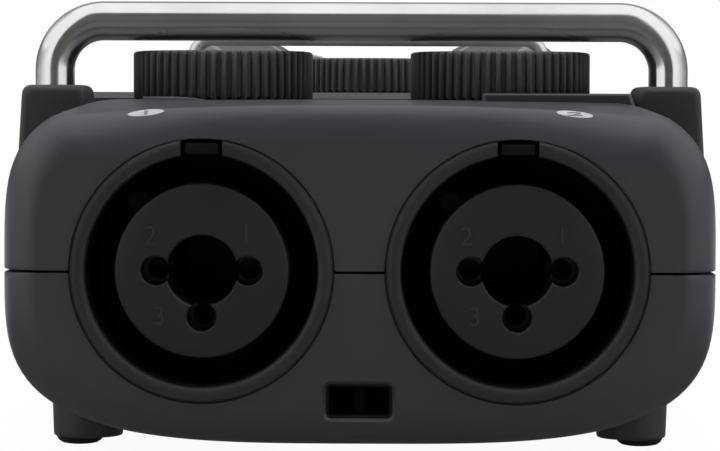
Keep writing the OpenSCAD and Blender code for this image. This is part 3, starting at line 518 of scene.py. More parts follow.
def feed(tree, socket, value):
    """Links an input to another node's socket, or gives it a value."""
    if isinstance(value, bpy.types.NodeSocket):
        tree.links.new(value, socket)
    else:
        socket.default_value = value


def node(tree, kind, inputs=None, **settings):
    """A node with its settings, and its inputs by name or number."""
    made = tree.nodes.new(kind)
    for key, value in settings.items():
        setattr(made, key, value)
    for key, value in (inputs or {}).items():
        feed(tree, made.inputs[key], value)
    return made


def ranged(tree, value, low, high, first, second):
    """Maps a value's range onto another."""
    limits = {"From Min": low, "From Max": high, "To Min": first, "To Max": second}
    return node(tree, "ShaderNodeMapRange", {"Value": value, **limits}).outputs["Result"]


def maths(tree, operation, *values):
    """A Math node on values and sockets."""
    return node(tree, "ShaderNodeMath", dict(enumerate(values)), operation=operation).outputs[0]


def tree_with(name, inputs):
    """A geometry tree with named inputs, as the tree, its inputs' identifiers and its source's outputs."""
    tree = bpy.data.node_groups.new(name, "GeometryNodeTree")
    tree.interface.new_socket("Geometry", in_out="INPUT", socket_type="NodeSocketGeometry")
    sockets = {}
    for label, kind in (*inputs.items(), ("Finish", "Material")):
        socket = tree.interface.new_socket(label, in_out="INPUT", socket_type=f"NodeSocket{kind}")
        sockets[label] = socket.identifier
    tree.interface.new_socket("Geometry", in_out="OUTPUT", socket_type="NodeSocketGeometry")
    return tree, sockets, node(tree, "NodeGroupInput").outputs


def ended(tree, source, geometry):
    """Ends a geometry tree: what it made becomes a plain mesh with the finish."""
    real = node(tree, "GeometryNodeRealizeInstances", {"Geometry": geometry})
    cover = node(tree, "GeometryNodeSetMaterial", {
        "Geometry": real.outputs["Geometry"], "Material": source["Finish"]})
    node(tree, "NodeGroupOutput", {"Geometry": cover.outputs["Geometry"]})


def ring_tree():
    """Repeats an object round the Z axis and joins it to the incoming mesh."""
    tree, sockets, source = tree_with("ribs_round", {"Rib": "Object", "Count": "Int", "Radius": "Float"})
    spots = node(tree, "GeometryNodeMeshCircle", {
        "Vertices": source["Count"], "Radius": source["Radius"]}, fill_type="NONE")
    rib = node(tree, "GeometryNodeObjectInfo", {"Object": source["Rib"]}, transform_space="ORIGINAL")
    place = node(tree, "GeometryNodeInputPosition")
    aim = node(tree, "FunctionNodeAlignRotationToVector", {"Vector": place.outputs["Position"]}, axis="X")
    ribs = node(tree, "GeometryNodeInstanceOnPoints", {
        "Points": spots.outputs["Mesh"], "Instance": rib.outputs["Geometry"],
        "Rotation": aim.outputs["Rotation"]})
    both = node(tree, "GeometryNodeJoinGeometry", {"Geometry": ribs.outputs["Instances"]})
    feed(tree, both.inputs["Geometry"], source["Geometry"])
    ended(tree, source, both.outputs["Geometry"])
    return tree, sockets


def wire_tree():
    """Turns the edges of a surface into round wires."""
    tree, sockets, source = tree_with("woven_wire", {"Radius": "Float", "Sides": "Int"})
    lines = node(tree, "GeometryNodeMeshToCurve", {"Mesh": source["Geometry"]})
    wire = node(tree, "GeometryNodeCurvePrimitiveCircle", {
        "Radius": source["Radius"], "Resolution": source["Sides"]})
    tube = node(tree, "GeometryNodeCurveToMesh", {
        "Curve": lines.outputs["Curve"], "Profile Curve": wire.outputs["Curve"], "Fill Caps": True})
    ended(tree, source, tube.outputs["Mesh"])
    return tree, sockets


def scatter_tree():
    """Puts an object on each of the incoming points."""
    tree, sockets, source = tree_with("set_on_points", {"Shape": "Object"})
    shape = node(tree, "GeometryNodeObjectInfo", {"Object": source["Shape"]}, transform_space="ORIGINAL")
    set_out = node(tree, "GeometryNodeInstanceOnPoints", {
        "Points": source["Geometry"], "Instance": shape.outputs["Geometry"]})
    ended(tree, source, set_out.outputs["Instances"])
    return tree, sockets


def grown(base, make_tree, cover, **values):
    """Runs a geometry tree on a working object and keeps the result as its mesh. Patterns are used up."""
    tree, sockets = make_tree()
    step = base.modifiers.new("grow", "NODES")
    step.node_group = tree
    step[sockets["Finish"]] = FINISHES[cover]
    for label, value in values.items():
        step[sockets[label]] = value
    plain(base)
    for value in values.values():
        if isinstance(value, bpy.types.Object):
            drop(value)
    bpy.data.node_groups.remove(tree)
    return base


# Finishes

FINISHES = {}
SLOW_SCALE = 90.0
WORN_SCALE = 420.0


def noise(tree, vector, scale, detail):
    """A noise texture's height."""
    return node(tree, "ShaderNodeTexNoise", {
        "Vector": vector, "Scale": scale, "Detail": detail, "Roughness": 0.55}).outputs["Fac"]


def spread(tree, height, low, high):
    """Spreads the middle of a noise between two numbers."""
    return ranged(tree, height, 0.3, 0.7, low, high)


def finish(name, tone, rough, metal=0.0, grain=0.2, bump=0.15, mottle=0.1, play=0.06, specular=0.5,
           stretch=(1, 1, 1)):
    """A moulded, turned or rolled finish. Grain is in millimetres, and play is the change in roughness."""
    material = bpy.data.materials.new(name)
    material.use_nodes = True
    tree = material.node_tree
    shader = tree.nodes["Principled BSDF"]
    place = node(tree, "ShaderNodeTexCoord").outputs["Object"]
    along = node(tree, "ShaderNodeMapping", {"Vector": place, "Scale": stretch}).outputs["Vector"]
    dark, pale = ((*(min(part * share, 1.0) for part in tone), 1.0) for share in (1 - mottle, 1 + mottle))
    shade = spread(tree, noise(tree, place, SLOW_SCALE, 4.0), 0.0, 1.0)
    relief = node(tree, "ShaderNodeBump", {
        "Strength": bump, "Distance": 0.25 * grain * MM, "Height": noise(tree, along, 1 / (grain * MM), 2.0)})
    for label, value in {
        "Base Color": node(tree, "ShaderNodeMix", {0: shade, 6: dark, 7: pale}, data_type="RGBA").outputs[2],
        "Roughness": spread(tree, noise(tree, along, WORN_SCALE, 4.0), max(rough - play, 0.02), rough + play),
        "Normal": relief.outputs["Normal"],
        "Metallic": metal,
        "Specular IOR Level": specular,
    }.items():
        feed(tree, shader.inputs[label], value)
    return material


def glassy(name):
    """A clear window with a trace of handling on it."""
    material = finish(name, (0.97, 0.975, 0.97), 0.012, grain=1.5, bump=0.0003, mottle=0.004, play=0.004)
    shader = material.node_tree.nodes["Principled BSDF"]
    shader.inputs["Transmission Weight"].default_value = 1.0
    shader.inputs["IOR"].default_value = 1.3
    return material


def make_finishes(tones):
    """All finishes, by the name of what they cover."""
    ring = [1.3 * part for part in tones.jack]
    FINISHES.update({
        "slate": finish("slate_shell", tones.slate, 0.37, grain=0.16, bump=0.2, mottle=0.05, play=0.015,
                        specular=0.62),
        "jack": finish("jack_moulding", tones.jack, 0.38, bump=0.1, mottle=0.12, specular=0.28),
        "knob": finish("knob_rubber", tones.knob, 0.42, grain=0.18, bump=0.14, mottle=0.12, specular=0.35),
        "post": finish("post_moulding", tones.post, 0.5, specular=0.25),
        "bright": finish("bright_rod", tones.bright, 0.14, 1.0, grain=0.12, bump=0.03, play=0.08,
                         stretch=(0.08, 1, 1)),
        "hoop": finish("hoop_rod", tones.bright, 0.42, 1.0, grain=0.12, bump=0.03, mottle=0.08),
        "ring": finish("ring_moulding", ring, 0.42, bump=0.12, mottle=0.12, specular=0.2),
        # Near-black lining of the strap slot: painted shade of the deep slot
        "slot": finish("strap_slot_shade", (0.005, 0.005, 0.0053), 0.55, grain=0.3, bump=0.1, mottle=0.2,
                       specular=0.2),
        # Near-black for the jack throats, their guide keys and the steel strap pin: painted shade of the deep
        # recesses they sit in
        "dark": finish("recess_shade_black", (0.0025, 0.0025, 0.0027), 0.6, grain=0.3, bump=0.1, mottle=0.2,
                       specular=0.12),
        # Bronze contacts darkened far below bare metal: painted shade of the contact holes they sit in
        "contact": finish("shaded_contact_bronze", (0.035, 0.03, 0.025), 0.55, 0.5, bump=0.05, specular=0.2),
        "key": finish("key_caps", tones.key, 0.45, bump=0.14, specular=0.42),
        "record": finish("record_cap", tones.record, 0.42, bump=0.12, specular=0.42),
        "print": finish("printed_marks", tones.print_white, 0.55, grain=0.1, bump=0.04, mottle=0.04),
        "badge": finish("badge_print", (0.3, 0.304, 0.322), 0.55, grain=0.1, bump=0.04, mottle=0.12),
        "badge_dark": finish("badge_numeral", (0.1, 0.102, 0.11), 0.6, grain=0.1, bump=0.04, mottle=0.12),
        "numeral": finish("raised_numeral", (0.023, 0.023, 0.023), 0.5, bump=0.1, specular=0.2),
        "rubber": finish("foot_rubber", tones.rubber, 0.72, grain=0.35, bump=0.3, mottle=0.2, specular=0.3),
        "tab": finish("tab_lacquer", (0.0045, 0.0045, 0.0055), 0.5, bump=0.06, specular=0.1,
                      stretch=(0.1, 1, 1)),
        "steel": finish("plain_steel", (0.5, 0.5, 0.52), 0.3, 1.0, grain=0.15, bump=0.05,
                        stretch=(1, 1, 0.15)),
        "brass": finish("turned_brass", (0.58, 0.42, 0.17), 0.3, 1.0, bump=0.05, mottle=0.12),
        "grille": finish("grille_wire", (0.5, 0.5, 0.52), 0.32, 1.0, bump=0.06),
        "barrel": finish("barrel_metal", (0.3, 0.3, 0.285), 0.36, 1.0, grain=0.15, bump=0.06,
                         stretch=(1, 1, 0.2)),
        "foam": finish("grille_foam", (0.01, 0.01, 0.01), 0.9, grain=0.5, bump=0.5, mottle=0.3, specular=0.2),
        "board": finish("solder_mask", (0.015, 0.1, 0.045), 0.35, grain=0.8, bump=0.1, mottle=0.2),
        "lcd": finish("display_film", (0.19, 0.22, 0.15), 0.5, grain=0.25, bump=0.02, mottle=0.01, play=0.01,
                      specular=0.2),
        "border": finish("window_border", (0.008, 0.008, 0.009), 0.4, grain=0.4, bump=0.02, play=0.02,
                         specular=0.2),
        "wrap": finish("cell_wrap", (0.3, 0.31, 0.33), 0.35, 0.4, grain=0.3, bump=0.05, mottle=0.15),
        "window": glassy("clear_window"),
    })


# Forms of the case

NOSE_SPAN = 24.0
NOSE_POWER = 2.5
NOSE_SWELL = 1.8
NOSE_FLAT = 10
NOSE_BLEND = 23.4
LIP = 0.16
END_STEPS = 12
FINE_STEPS = 20000
SPAN_L = 8
DECK_DEPTHS = (5, 6.5, 8, 9.5, 10.5, 11.3, 12, 12.7, 13.5, 15, 18, 22, 26, 29, 30.4, 31, 31.6, 32.2, 34)


def unit(value):
    """A value held between 0 and 1."""
    return min(max(value, 0.0), 1.0)


def soft_min(first, second, reach):
    """The lower of two heights, with the corner between them rounded."""
    overlap = max(reach - abs(first - second), 0.0) / reach
    return min(first, second) - overlap * overlap * reach / 4


def deck_height(sizes, depth, x):
    """Height of the deck: an arched front slope, a level run past the knobs, then a step up to the panel."""
    fall = sizes.crest_z - sizes.nose_z + sizes.nose_arch * min(abs(x) / NOSE_SPAN, 1.1) ** NOSE_POWER
    nose = sizes.crest_z - (sizes.crest_d - depth) * fall / sizes.crest_d
    along = unit((depth - sizes.plateau_d + sizes.step_l) / sizes.step_l)
    return soft_min(nose, sizes.crest_z + (DECK_Z - sizes.crest_z) * along, 0.15)


def squareness(sizes, upper):
    """Power of the upper or lower outline."""
    return sizes.upper_square if upper else sizes.lower_square


def side_share(sizes, angle, upper):
    """How far out a point of the case's section lies, from -1 to 1."""
    return math.copysign(abs(math.cos(angle)) ** (2 / squareness(sizes, upper)), math.cos(angle))


def nose_inset(sizes, angle, past):
    """Inset of the jack end's upper edge at a depth past the end: tighter in the middle than at the sides."""
    out = unit((abs(side_share(sizes, angle, True)) * HALF_W - NOSE_FLAT) / NOSE_BLEND)
    out *= out * (3 - 2 * out)
    run = sizes.nose_round + (sizes.near_round - sizes.nose_round) * out
    rise = sizes.near_round + NOSE_SWELL * out * (1 - out)
    left = max(1 - past / run, 0.0)
    return rise * (1 - math.sqrt(1 - left * left))


def section_point(sizes, angle, upper, inset, deck):
    """A point of the case's section, as X and Z."""
    x = (HALF_W - inset) * side_share(sizes, angle, upper)
    up = abs(math.sin(angle)) ** (2 / squareness(sizes, upper))
    if upper:
        return x, soft_min(PARTING_Z + (sizes.crown_z - inset - PARTING_Z) * up, deck - inset, 0.5)
    return x, PARTING_Z - (PARTING_Z - BELLY_Z - inset) * up


def lengths(points):
    """Length along a line up to each of its points."""
    run = [0.0]
    for a, b in zip(points, points[1:]):
        run.append(run[-1] + (b - a).length)
    return run


def even_angles(sizes, upper):
    """Angles whose points lie evenly along half a section."""
    fine = [math.pi * k / FINE_STEPS for k in range(FINE_STEPS + 1)]
    run = lengths([Vector(section_point(sizes, angle, upper, 0, DECK_Z)) for angle in fine])
    count = sizes.points // 2
    angles, at = [], 0
    for k in range(count + 1):
        want = run[-1] * k / count
        while at < len(run) - 1 and run[at] < want:
            at += 1
        angles.append(fine[at])
    return angles


def even_count(line, count):
    """The same line with a given number of points."""
    if len(line) == count:
        return line
    points = [Vector(point) for point in line]
    run = lengths(points)
    out, at = [], 0
    for k in range(count):
        want = run[-1] * k / (count - 1)
        while at < len(run) - 2 and run[at + 1] < want:
            at += 1
        step = run[at + 1] - run[at]
        point = points[at].lerp(points[at + 1], unit((want - run[at]) / step if step else 0.0))
        out.append((point.x, point.y))
    return out


def stations(near, far, near_round, far_round):
    """Depths along the case, with how far each ring lies inside the full outline."""
    turns = [(1 - math.cos(a), 1 - math.sin(a)) for a in quarter(END_STEPS)]
    start, end = near + near_round, far - far_round
    middles = [d for d in DECK_DEPTHS if start + 0.3 < d < end - 0.3]
    base = max([start] + middles)
    spans = max(int((end - base) / SPAN_L), 1)
    middles += [base + (end - base) * k / spans for k in range(1, spans)]
    rows = [(near + near_round * along, near_round * inside) for along, inside in turns]
    rows += [(depth, 0.0) for depth in middles]
    return rows + [(far - far_round * along, far_round * inside) for along, inside in reversed(turns)]


def half_case(sizes, upper, inset, seam):
    """Half of the case as a closed solid. A negative seam reaches past the parting plane."""
    sign = 1 if upper else -1
    angles = even_angles(sizes, upper)
    level = PARTING_Z + sign * seam / 2
    soft = LIP if seam > 0 else 0.0
    near = CASE_NEAR + inset
    rings = []
    for depth, ends in stations(near, CASE_FAR - inset, sizes.near_round, sizes.far_round):
        at_nose = upper and depth - near < sizes.near_round
        line = []
        for angle in angles[1:-1]:
            deck = deck_height(sizes, depth, side_share(sizes, angle, upper) * HALF_W)
            rim = nose_inset(sizes, angle, depth - near) if at_nose else ends
            line.append(section_point(sizes, angle, upper, inset + rim, deck))
        line = [(x, z) for x, z in line if sign * (z - level) > soft + 0.05]
        edge = HALF_W - (inset + ends)
        start = [(edge - soft, level)]
        if soft:
            start += [(edge - 0.3 * soft, level + sign * 0.3 * soft), (edge, level + sign * (soft + 0.02))]
        end = [(-x, z) for x, z in reversed(start)]
        rings.append([(x, y_at(depth), z) for x, z in start + even_count(line, len(angles) - 2) + end])
    return skin(rings)


def hollow_half(sizes, upper):
    """A hollow half of the case, as a working object."""
    return carve(solid(half_case(sizes, upper, 0.0, sizes.seam)), half_case(sizes, upper, sizes.wall, -2.0))


def full_case(sizes, inset, near, far, near_round, far_round):
    """A whole case form with a level deck, as a closed solid."""
    upper, lower = even_angles(sizes, True), even_angles(sizes, False)
    rings = []
    for depth, ends in stations(near, far, near_round, far_round):
        total = inset + ends
        ring = [section_point(sizes, a, True, total, DECK_Z) for a in upper]
        ring += [section_point(sizes, -a, False, total, DECK_Z) for a in reversed(lower[1:-1])]
        rings.append([(x, y_at(depth), z) for x, z in ring])
    return skin(rings)


# Shells

KEYS = ("rewind_key", "stop_key", "play_key", "forward_key", "track_key_1", "track_key_2", "track_key_3")
KEY_FLANGE = 0.6
RECORD_FLANGE = 0.4
FLARE = -0.18
SHAFT_R = 3.3
WELL_Z = 32.55
LEDGE_R = 10.7
LEDGE_FOOT = 31.6
LEDGE_TOP = 33.6
CRESCENT_TOP = 33.2
CRESCENT_FALL = 0.7
PANEL_FOOT = 31.2
BENEATH = 29
ABOVE = 36
FOOT_R = 2.25
FOOT_BORE_R = 2.3
SCREW_R = 2.2
SCREW_BORE_R = 2.35
BOSS = [(0, 0.75), (3.3, 0.75), (3.5, 6.1), (0, 6.1)]
BOSS_IN = 0.8
BAY_W = 36
BAY_L = 61
BAY_WALL = 1.2
BAY_TOP = 16.5
COVER_GAP = 0.3
GRIP_R = 0.45
GRIP_PITCH = 1.5
GRIPS = 6
SPEAKER_HOLE_R = 0.8
SPEAKER_CIRCLE = 4
SLOT_W = 6.2
SLOT_H = 3.25
SLOT_R = 0.55
SLOT_Z = 4.9
SLOT_D = CASE_NEAR + 0.25
MINI_JACK_R = 2.8
MINI_JACK_DEPTHS = (52, 65)
SIDE_RECESSES = (
    ("menu_key", 1, 11, 6.4, -1.2), ("scroll_wheel", 1, 10.4, 5.6, -1.2),
    ("card_door", 1, 26.6, 6.4, -1.5, -0.2, 0.4), ("usb_port", 1, 8.2, 3.0, -6, -0.3, 0.7),
    ("power_switch", -1, 14, 5, -1.2), ("volume_rocker", -1, 17, 5.4, -1.2),
)
SIDE_OPENINGS = (
    ("menu_key", 1, 7.6, 4.0, -6, 0), ("scroll_wheel", 1, 10.4, 4.2, -12, 0),
    ("card_slot", 1, 24.6, 2.4, -6, 0, 0.3), ("power_switch", -1, 11.6, 3.6, -6, 0),
    ("volume_rocker", -1, 15, 4.0, -6, 0),
)


def key_cap(name):
    """Width and depth of a key's cap."""
    size = extent(name)
    return size.x - 2 * KEY_FLANGE, size.y - 2 * KEY_FLANGE


def record_radius():
    """Radius of the record key's cap."""
    return extent("record_key").x / 2 - RECORD_FLANGE


def side_cut(name, side, run, rise, low, edge=-0.2, radius=0.5):
    """A cutter in the case's side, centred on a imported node."""
    return turned(slug(run, rise, radius, low, 0.0, edge), out_of_side(side, depth_of(name), middle(name).z))


def jack_bores(ring_gap):
    """Openings for the jack rings."""
    return joined(*(turned(rod(extent(name).x / 2 + ring_gap, -14.3, 0.0, -0.1, 128),
                           along_depth(middle(name).x, CASE_NEAR, middle(name).z))
                    for name in (f"jack_shell_{i}" for i in SIDES)))


def knob_ledge(knob):
    """The raised ledge before the right gain knob, leaning in at its outer end."""
    middle_x = knob.x + 5.4
    ledge = moved(slug(15, LEDGE_R, 0.4, LEDGE_FOOT, LEDGE_TOP, 0.25), middle_x, knob.y - LEDGE_R / 2)
    for vert in ledge.verts:
        if vert.co.z > DECK_Z - 1.0 and vert.co.x > middle_x:
            vert.co.x -= 0.65
    return ledge


def knob_crescent(knob):
    """The raised crescent round the left gain knob, falling away towards the middle."""
    line = [(0, LEDGE_FOOT), (LEDGE_R, LEDGE_FOOT), (LEDGE_R, CRESCENT_TOP), (0, CRESCENT_TOP)]
    ring = solid(moved(lathe(line, 0.2, 128), -knob.x, knob.y))
    carve(ring, moved(slug(8, 18, 0.3, 30, ABOVE), -knob.x - 3.4, knob.y - 9), operation="INTERSECT")
    crescent = melted(ring)
    for vert in crescent.verts:
        if vert.co.z > CRESCENT_TOP - CRESCENT_FALL:
            along = unit((vert.co.x + knob.x + 4.5) / 5.0)
            vert.co.z -= CRESCENT_FALL * along * along
    return crescent


def build_upper(sizes, parts):
    """Upper shell with its panel and all its openings."""
    upper = hollow_half(sizes, True)
    knob = middle("gain_knob_2")
    panel_l = CASE_FAR - sizes.panel_in - sizes.panel_d
    panel = slug(sizes.panel_w, panel_l, 1.4, PANEL_FOOT, PANEL_Z, 0.62, steps=1)
    carve(upper, knob_ledge(knob), knob_crescent(knob), moved(panel, 0, y_at(sizes.panel_d + panel_l / 2)),
          operation="UNION")
    carve(upper, jack_bores(parts.ring_gap))
    for radius, low, high in ((extent("gain_knob_2").x / 2 + 0.5, WELL_Z, ABOVE), (SHAFT_R, 28, 34)):
        carve(upper, joined(*(moved(rod(radius, low, high), x, knob.y) for x in (-knob.x, knob.x))))
    carve(upper, joined(post_block(-1, 0.08), post_block(1, 0.08)))
    openings = []
    for name in KEYS:
        w, d = key_cap(name)
        hole = slug(w + 2 * parts.key_gap, d + 2 * parts.key_gap, 1.3, BENEATH, PANEL_Z, FLARE)
        openings.append(over(name, hole))
    openings.append(over("record_key", rod(record_radius() + parts.key_gap, BENEATH, PANEL_Z, FLARE)))
    glass, glass_z = extent("display_window"), box_mm("display_window")[0].z
    openings.append(over("display_window", slug(glass.x + 0.2, glass.y + 0.2, 2.1, glass_z, PANEL_Z, FLARE)))
    carve(upper, joined(*openings))
    carve(upper, over("display_window", slug(glass.x - 2.4, glass.y - 2.4, 0.6, BENEATH, ABOVE)))
    for cuts in (SIDE_RECESSES, SIDE_OPENINGS):
        carve(upper, joined(*(side_cut(*cut) for cut in cuts)))
    for depth in MINI_JACK_DEPTHS:
        hole = rod(MINI_JACK_R, -6, 0.0, -0.2, 64)
        carve(upper, turned(hole, out_of_side(-1, depth, middle("audio_jacks").z)))
    carve(upper, plug_opening(CASE_FAR, 22, 3.0, 0.5))
    finished(upper, "upper_shell", "slate", "recorder", "slate", "upper_case", weighted=True)


def plug_opening(depth, width, height, radius):
    """A cutter for the module's plug, through the wall at a depth."""
    place = Matrix.Translation((0, y_at(depth), middle("module_plug").z)) @ TO_BACK
    return turned(slug(width, height, radius, -6, 6), place)


def bay_walls(floor_z):
    """Walls round the battery bay."""
    place_y = middle("battery_cover").y
    rim = slug(BAY_W + 2 * BAY_WALL, BAY_L + 2 * BAY_WALL, 1.0, floor_z - 0.7, BAY_TOP)
    rim = solid(moved(rim, 0, place_y))
    carve(rim, moved(slug(BAY_W, BAY_L, 0.5, floor_z - 3, BAY_TOP + 3.5), 0, place_y))
    return melted(rim)


def build_lower(sizes, parts):
    """Lower shell with its battery bay, foot bosses and strap slot."""
    lower = hollow_half(sizes, False)
    floor_z = BELLY_Z + sizes.wall
    feet, cover = corners_of("rubber_feet", FOOT_R), extent("battery_cover")
    carve(lower, bay_walls(floor_z), operation="UNION")
    for x, y in feet:
        boss = lathe(BOSS, 0.3, 64)
        carve(lower, moved(boss, x - math.copysign(BOSS_IN, x), y), operation="UNION")
    carve(lower, jack_bores(parts.ring_gap))
    bay = slug(cover.x + 2 * COVER_GAP, cover.y + 2 * COVER_GAP, 1.6, -2, floor_z + 0.4)
    carve(lower, over("battery_cover", bay))
    carve(lower, turned(slug(SLOT_W, SLOT_H, SLOT_R, -7.2, 0.0, -0.3), along_depth(0, SLOT_D, SLOT_Z)))
    thread = turned(rod(3.6, -9, 0, -0.4), Matrix.Rotation(math.pi, 4, "X"))
    carve(lower, over("tripod_nut", thread, BELLY_Z + 0.05))
    carve(lower, joined(*(moved(rod(FOOT_BORE_R, -1, 1.6), x, y) for x, y in feet)))
    screws = corners_of("case_screws", SCREW_R)
    carve(lower, joined(*(moved(rod(SCREW_BORE_R, -1, 6.4), x, y) for x, y in screws)))
    holes = [(0.0, 0.0)] + [(SPEAKER_CIRCLE * math.cos(a), SPEAKER_CIRCLE * math.sin(a)) for a in circle(6)]
    holes = joined(*(moved(rod(SPEAKER_HOLE_R, -1, 4, 0, 24), x, y) for x, y in holes))
    carve(lower, over("speaker", holes))
    finished(lower, "lower_shell", "slate", "recorder", "slate", "lower_case", weighted=True)


def build_cover(sizes):
    """Battery cover, cut from the belly's own form, with grip grooves."""
    name = "battery_cover"
    size, place = extent(name), middle(name)
    first = place.y - size.y / 2 + 5
    cover = solid(half_case(sizes, False, 0.0, sizes.seam))
    carve(cover, over(name, slug(size.x, size.y, 1.4, -2, box_mm(name)[1].z)), operation="INTERSECT")
    places = [(place.x, first + GRIP_PITCH * k, BELLY_Z - 0.12) for k in range(GRIPS)]
    grooves = [moved(turned(rod(GRIP_R, -6, 6, 0, 12), TO_SIDE), *spot) for spot in places]
    carve(cover, joined(*grooves))
    finished(cover, "battery_cover_shell", "slate", "battery_cover_body", "slate", name, weighted=True)


# Knobs

KNOB_BODY_H = 4.8
CROWN_R = 0.3
KNOB_DISH = 0.35
RIB_SHARE = 0.6
POINTER_L = 2.6
POINTER_W = 0.55


def rib_shape(height, depth, width, top):
    """One rib along Z with a round crest and a top that runs out."""
    half = width / 2
    turns = [math.pi * k / 6 for k in range(1, 6)]
    rings = []
    for z, part in ((0.0, 0.7), (0.25, 1.0), (height - top, 1.0), (height - 0.4 * top, 0.86), (height, 0.4)):
        ring = [(-0.5, -half, z), (0.0, -half, z)]
        ring += [(depth * part * math.sin(a), -half * math.cos(a), z) for a in turns]
        rings.append(ring + [(0.0, half, z), (-0.5, half, z)])
    return skin(rings)


def knob_core(radius):
    """A turned knob body: soft crown, shallow dish on top and an undercut below."""
    height = KNOB_BODY_H
    line = [(0, 0.0), (radius - 0.35, 0.0), (radius, 0.3), (radius, height - CROWN_R)]
    line += [(radius - CROWN_R * (1 - math.cos(a)), height - CROWN_R + CROWN_R * math.sin(a))
             for a in quarter(6)[1:]]
    line += [(radius - 1.6, height), (radius - 2.2, height - 0.12), (0, height - KNOB_DISH)]
    return lathe(line, 0, 128)


def ribbed(name, core, count, radius, rib, z):
    """Finishes a turned core with ribs round it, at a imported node's place and a height."""
    knob = grown(solid(core), ring_tree, "knob", Rib=solid(rib, "rib"), Count=count, Radius=radius)
    knob.data.transform(Matrix.Translation((middle(name).x, middle(name).y, z)))
    finished(knob, f"{name}_ribbed", "knob", f"{name}_body", "knob_black", name, sharp=40)


def build_knobs(parts):
    """Gain knobs and the microphone wheel, with their shafts and pointers."""
    for name, count in (("gain_knob_1", parts.gain_ribs), ("gain_knob_2", parts.gain_ribs),
                        ("mic_wheel", parts.wheel_ribs)):
        low, high = heights(name)
        root = extent(name).x / 2 - parts.rib_depth
        shaft = rod(2.95, low - high + KNOB_BODY_H, 0.2, 0, 48)
        rib = rib_shape(KNOB_BODY_H - 0.05, parts.rib_depth, 2 * math.pi * root / count * RIB_SHARE, 0.3)
        ribbed(name, joined(knob_core(root), shaft), count, root, rib, high - KNOB_BODY_H)
        if name != "mic_wheel":
            mark = moved(slug(POINTER_W, POINTER_L, POINTER_W / 2, 0.0, 0.06), 0, root - 2.5, high - 0.045)
            finished(over(name, mark), f"{name}_pointer", "badge_dark", f"{name}_body", "key_grey")


# Guards

BAR_R = 1.915
HOOP_R = 0.95
POST_X = 29.75
POST_FOOT = 3.6
POST_HEAD = 3.08
POST_EDGE = 0.7


def arch_path(half_width, top, bend, foot, y):
    """Middle line of a bar that stands on two legs."""
    path = [Vector((-half_width, y, foot)), Vector((-half_width, y, (foot + top - bend) / 2))]
    path += [Vector((-half_width + bend * (1 - math.cos(a)), y, top - bend + bend * math.sin(a)))
             for a in quarter(16)]
    mirrored = [Vector((-p.x, p.y, p.z)) for p in reversed(path)]
    return path + [Vector((x, y, top)) for x in (-half_width / 2, 0.0, half_width / 2)] + mirrored


def leg_bores(name, bar_r, bore_r, low, high, segments):
    """Bores for a bar's two legs."""
    leg_x = box_mm(name)[1].x - bar_r
    return joined(*(moved(rod(bore_r, low, high, -0.3, segments), side * leg_x, middle(name).y)
                    for side in SIDES.values()))


def post_block(side, grow=0.0):
    """One guard post, narrower at its head, with its front and back edges softened."""
    low, high = box_mm("guard_posts")
    turns = [(POST_EDGE * (1 - math.sin(a)), POST_EDGE * (1 - math.cos(a))) for a in quarter(6)]
    rows = [(inset, low.y - grow + along) for inset, along in turns]
    rows += [(inset, high.y + grow - along) for inset, along in reversed(turns)]
    rings = []
    for inset, y in rows:
        foot, head = POST_FOOT + grow - inset, POST_HEAD + grow - inset
        bottom, top = low.z + inset, high.z + grow - inset
        line = [(0, bottom), (foot, bottom), (head, top), (-head, top), (-foot, bottom), (0, bottom)]
        rings.append([(side * POST_X + point.x, y, point.y) for point in soften(line, 0.95)[:-1]])
    return skin(rings)


def build_guards():
    """Guard bar, its posts, and the slim hoop over the microphone wheel."""
    for name, piece, body, bend, radius, cover in (
            ("guard_bar", "guard_rod", "recorder", 4.8, BAR_R, "bright"),
            ("wheel_guard", "wheel_hoop", "mic_module", 2.6, HOOP_R, "hoop")):
        low, high = box_mm(name)
        path = arch_path(high.x - radius, high.z - radius, bend, low.z, middle(name).y)
        finished(sweep(path, radius, 64), piece, cover, body, "bright_metal", name, sharp=50)
    pair = solid(joined(post_block(-1), post_block(1)))
    bar_z, head_z = box_mm("guard_bar")[0].z, box_mm("guard_posts")[1].z
    carve(pair, leg_bores("guard_bar", BAR_R, 2.02, bar_z - 0.2, head_z, 64))
    finished(pair, "guard_post_pair", "post", "recorder", "black_plastic", "guard_posts", weighted=True)


# Jacks

JACK_RING = [(12.3, -14), (12.3, -0.55), (12.05, -0.12), (11.75, 0.0), (11.2, -0.04), (10.96, -0.2),
             (10.85, -0.6), (10.85, -14)]
JACK_THROAT = [(10.95, -0.65), (10.75, -0.65), (10.75, -12), (8.3, -12), (8.3, -32), (9.25, -32),
               (9.25, -14), (10.95, -14)]
NOTCH_W = 3.9
NOTCH_H = 4.1
NOTCH_Y = 11.35
NOTCH_FLOOR = -11.7
FACE_Z = -1.0
JACK_FACE = [(0, -30), (8.2, -30), (8.2, -1.45), (8.05, -1.1), (7.75, FACE_Z), (0, FACE_Z)]
GUIDE = [(0, -12), (1.1, -12), (1.1, -4.2), (0, -4.2)]
GUIDE_PLACE = (-6.2, 6.4)
NUMERAL_H = 1.8
NUMERALS = (("1", 4.15, 3.35), ("2", -4.75, 3.2), ("3", -3.95, -4.3))


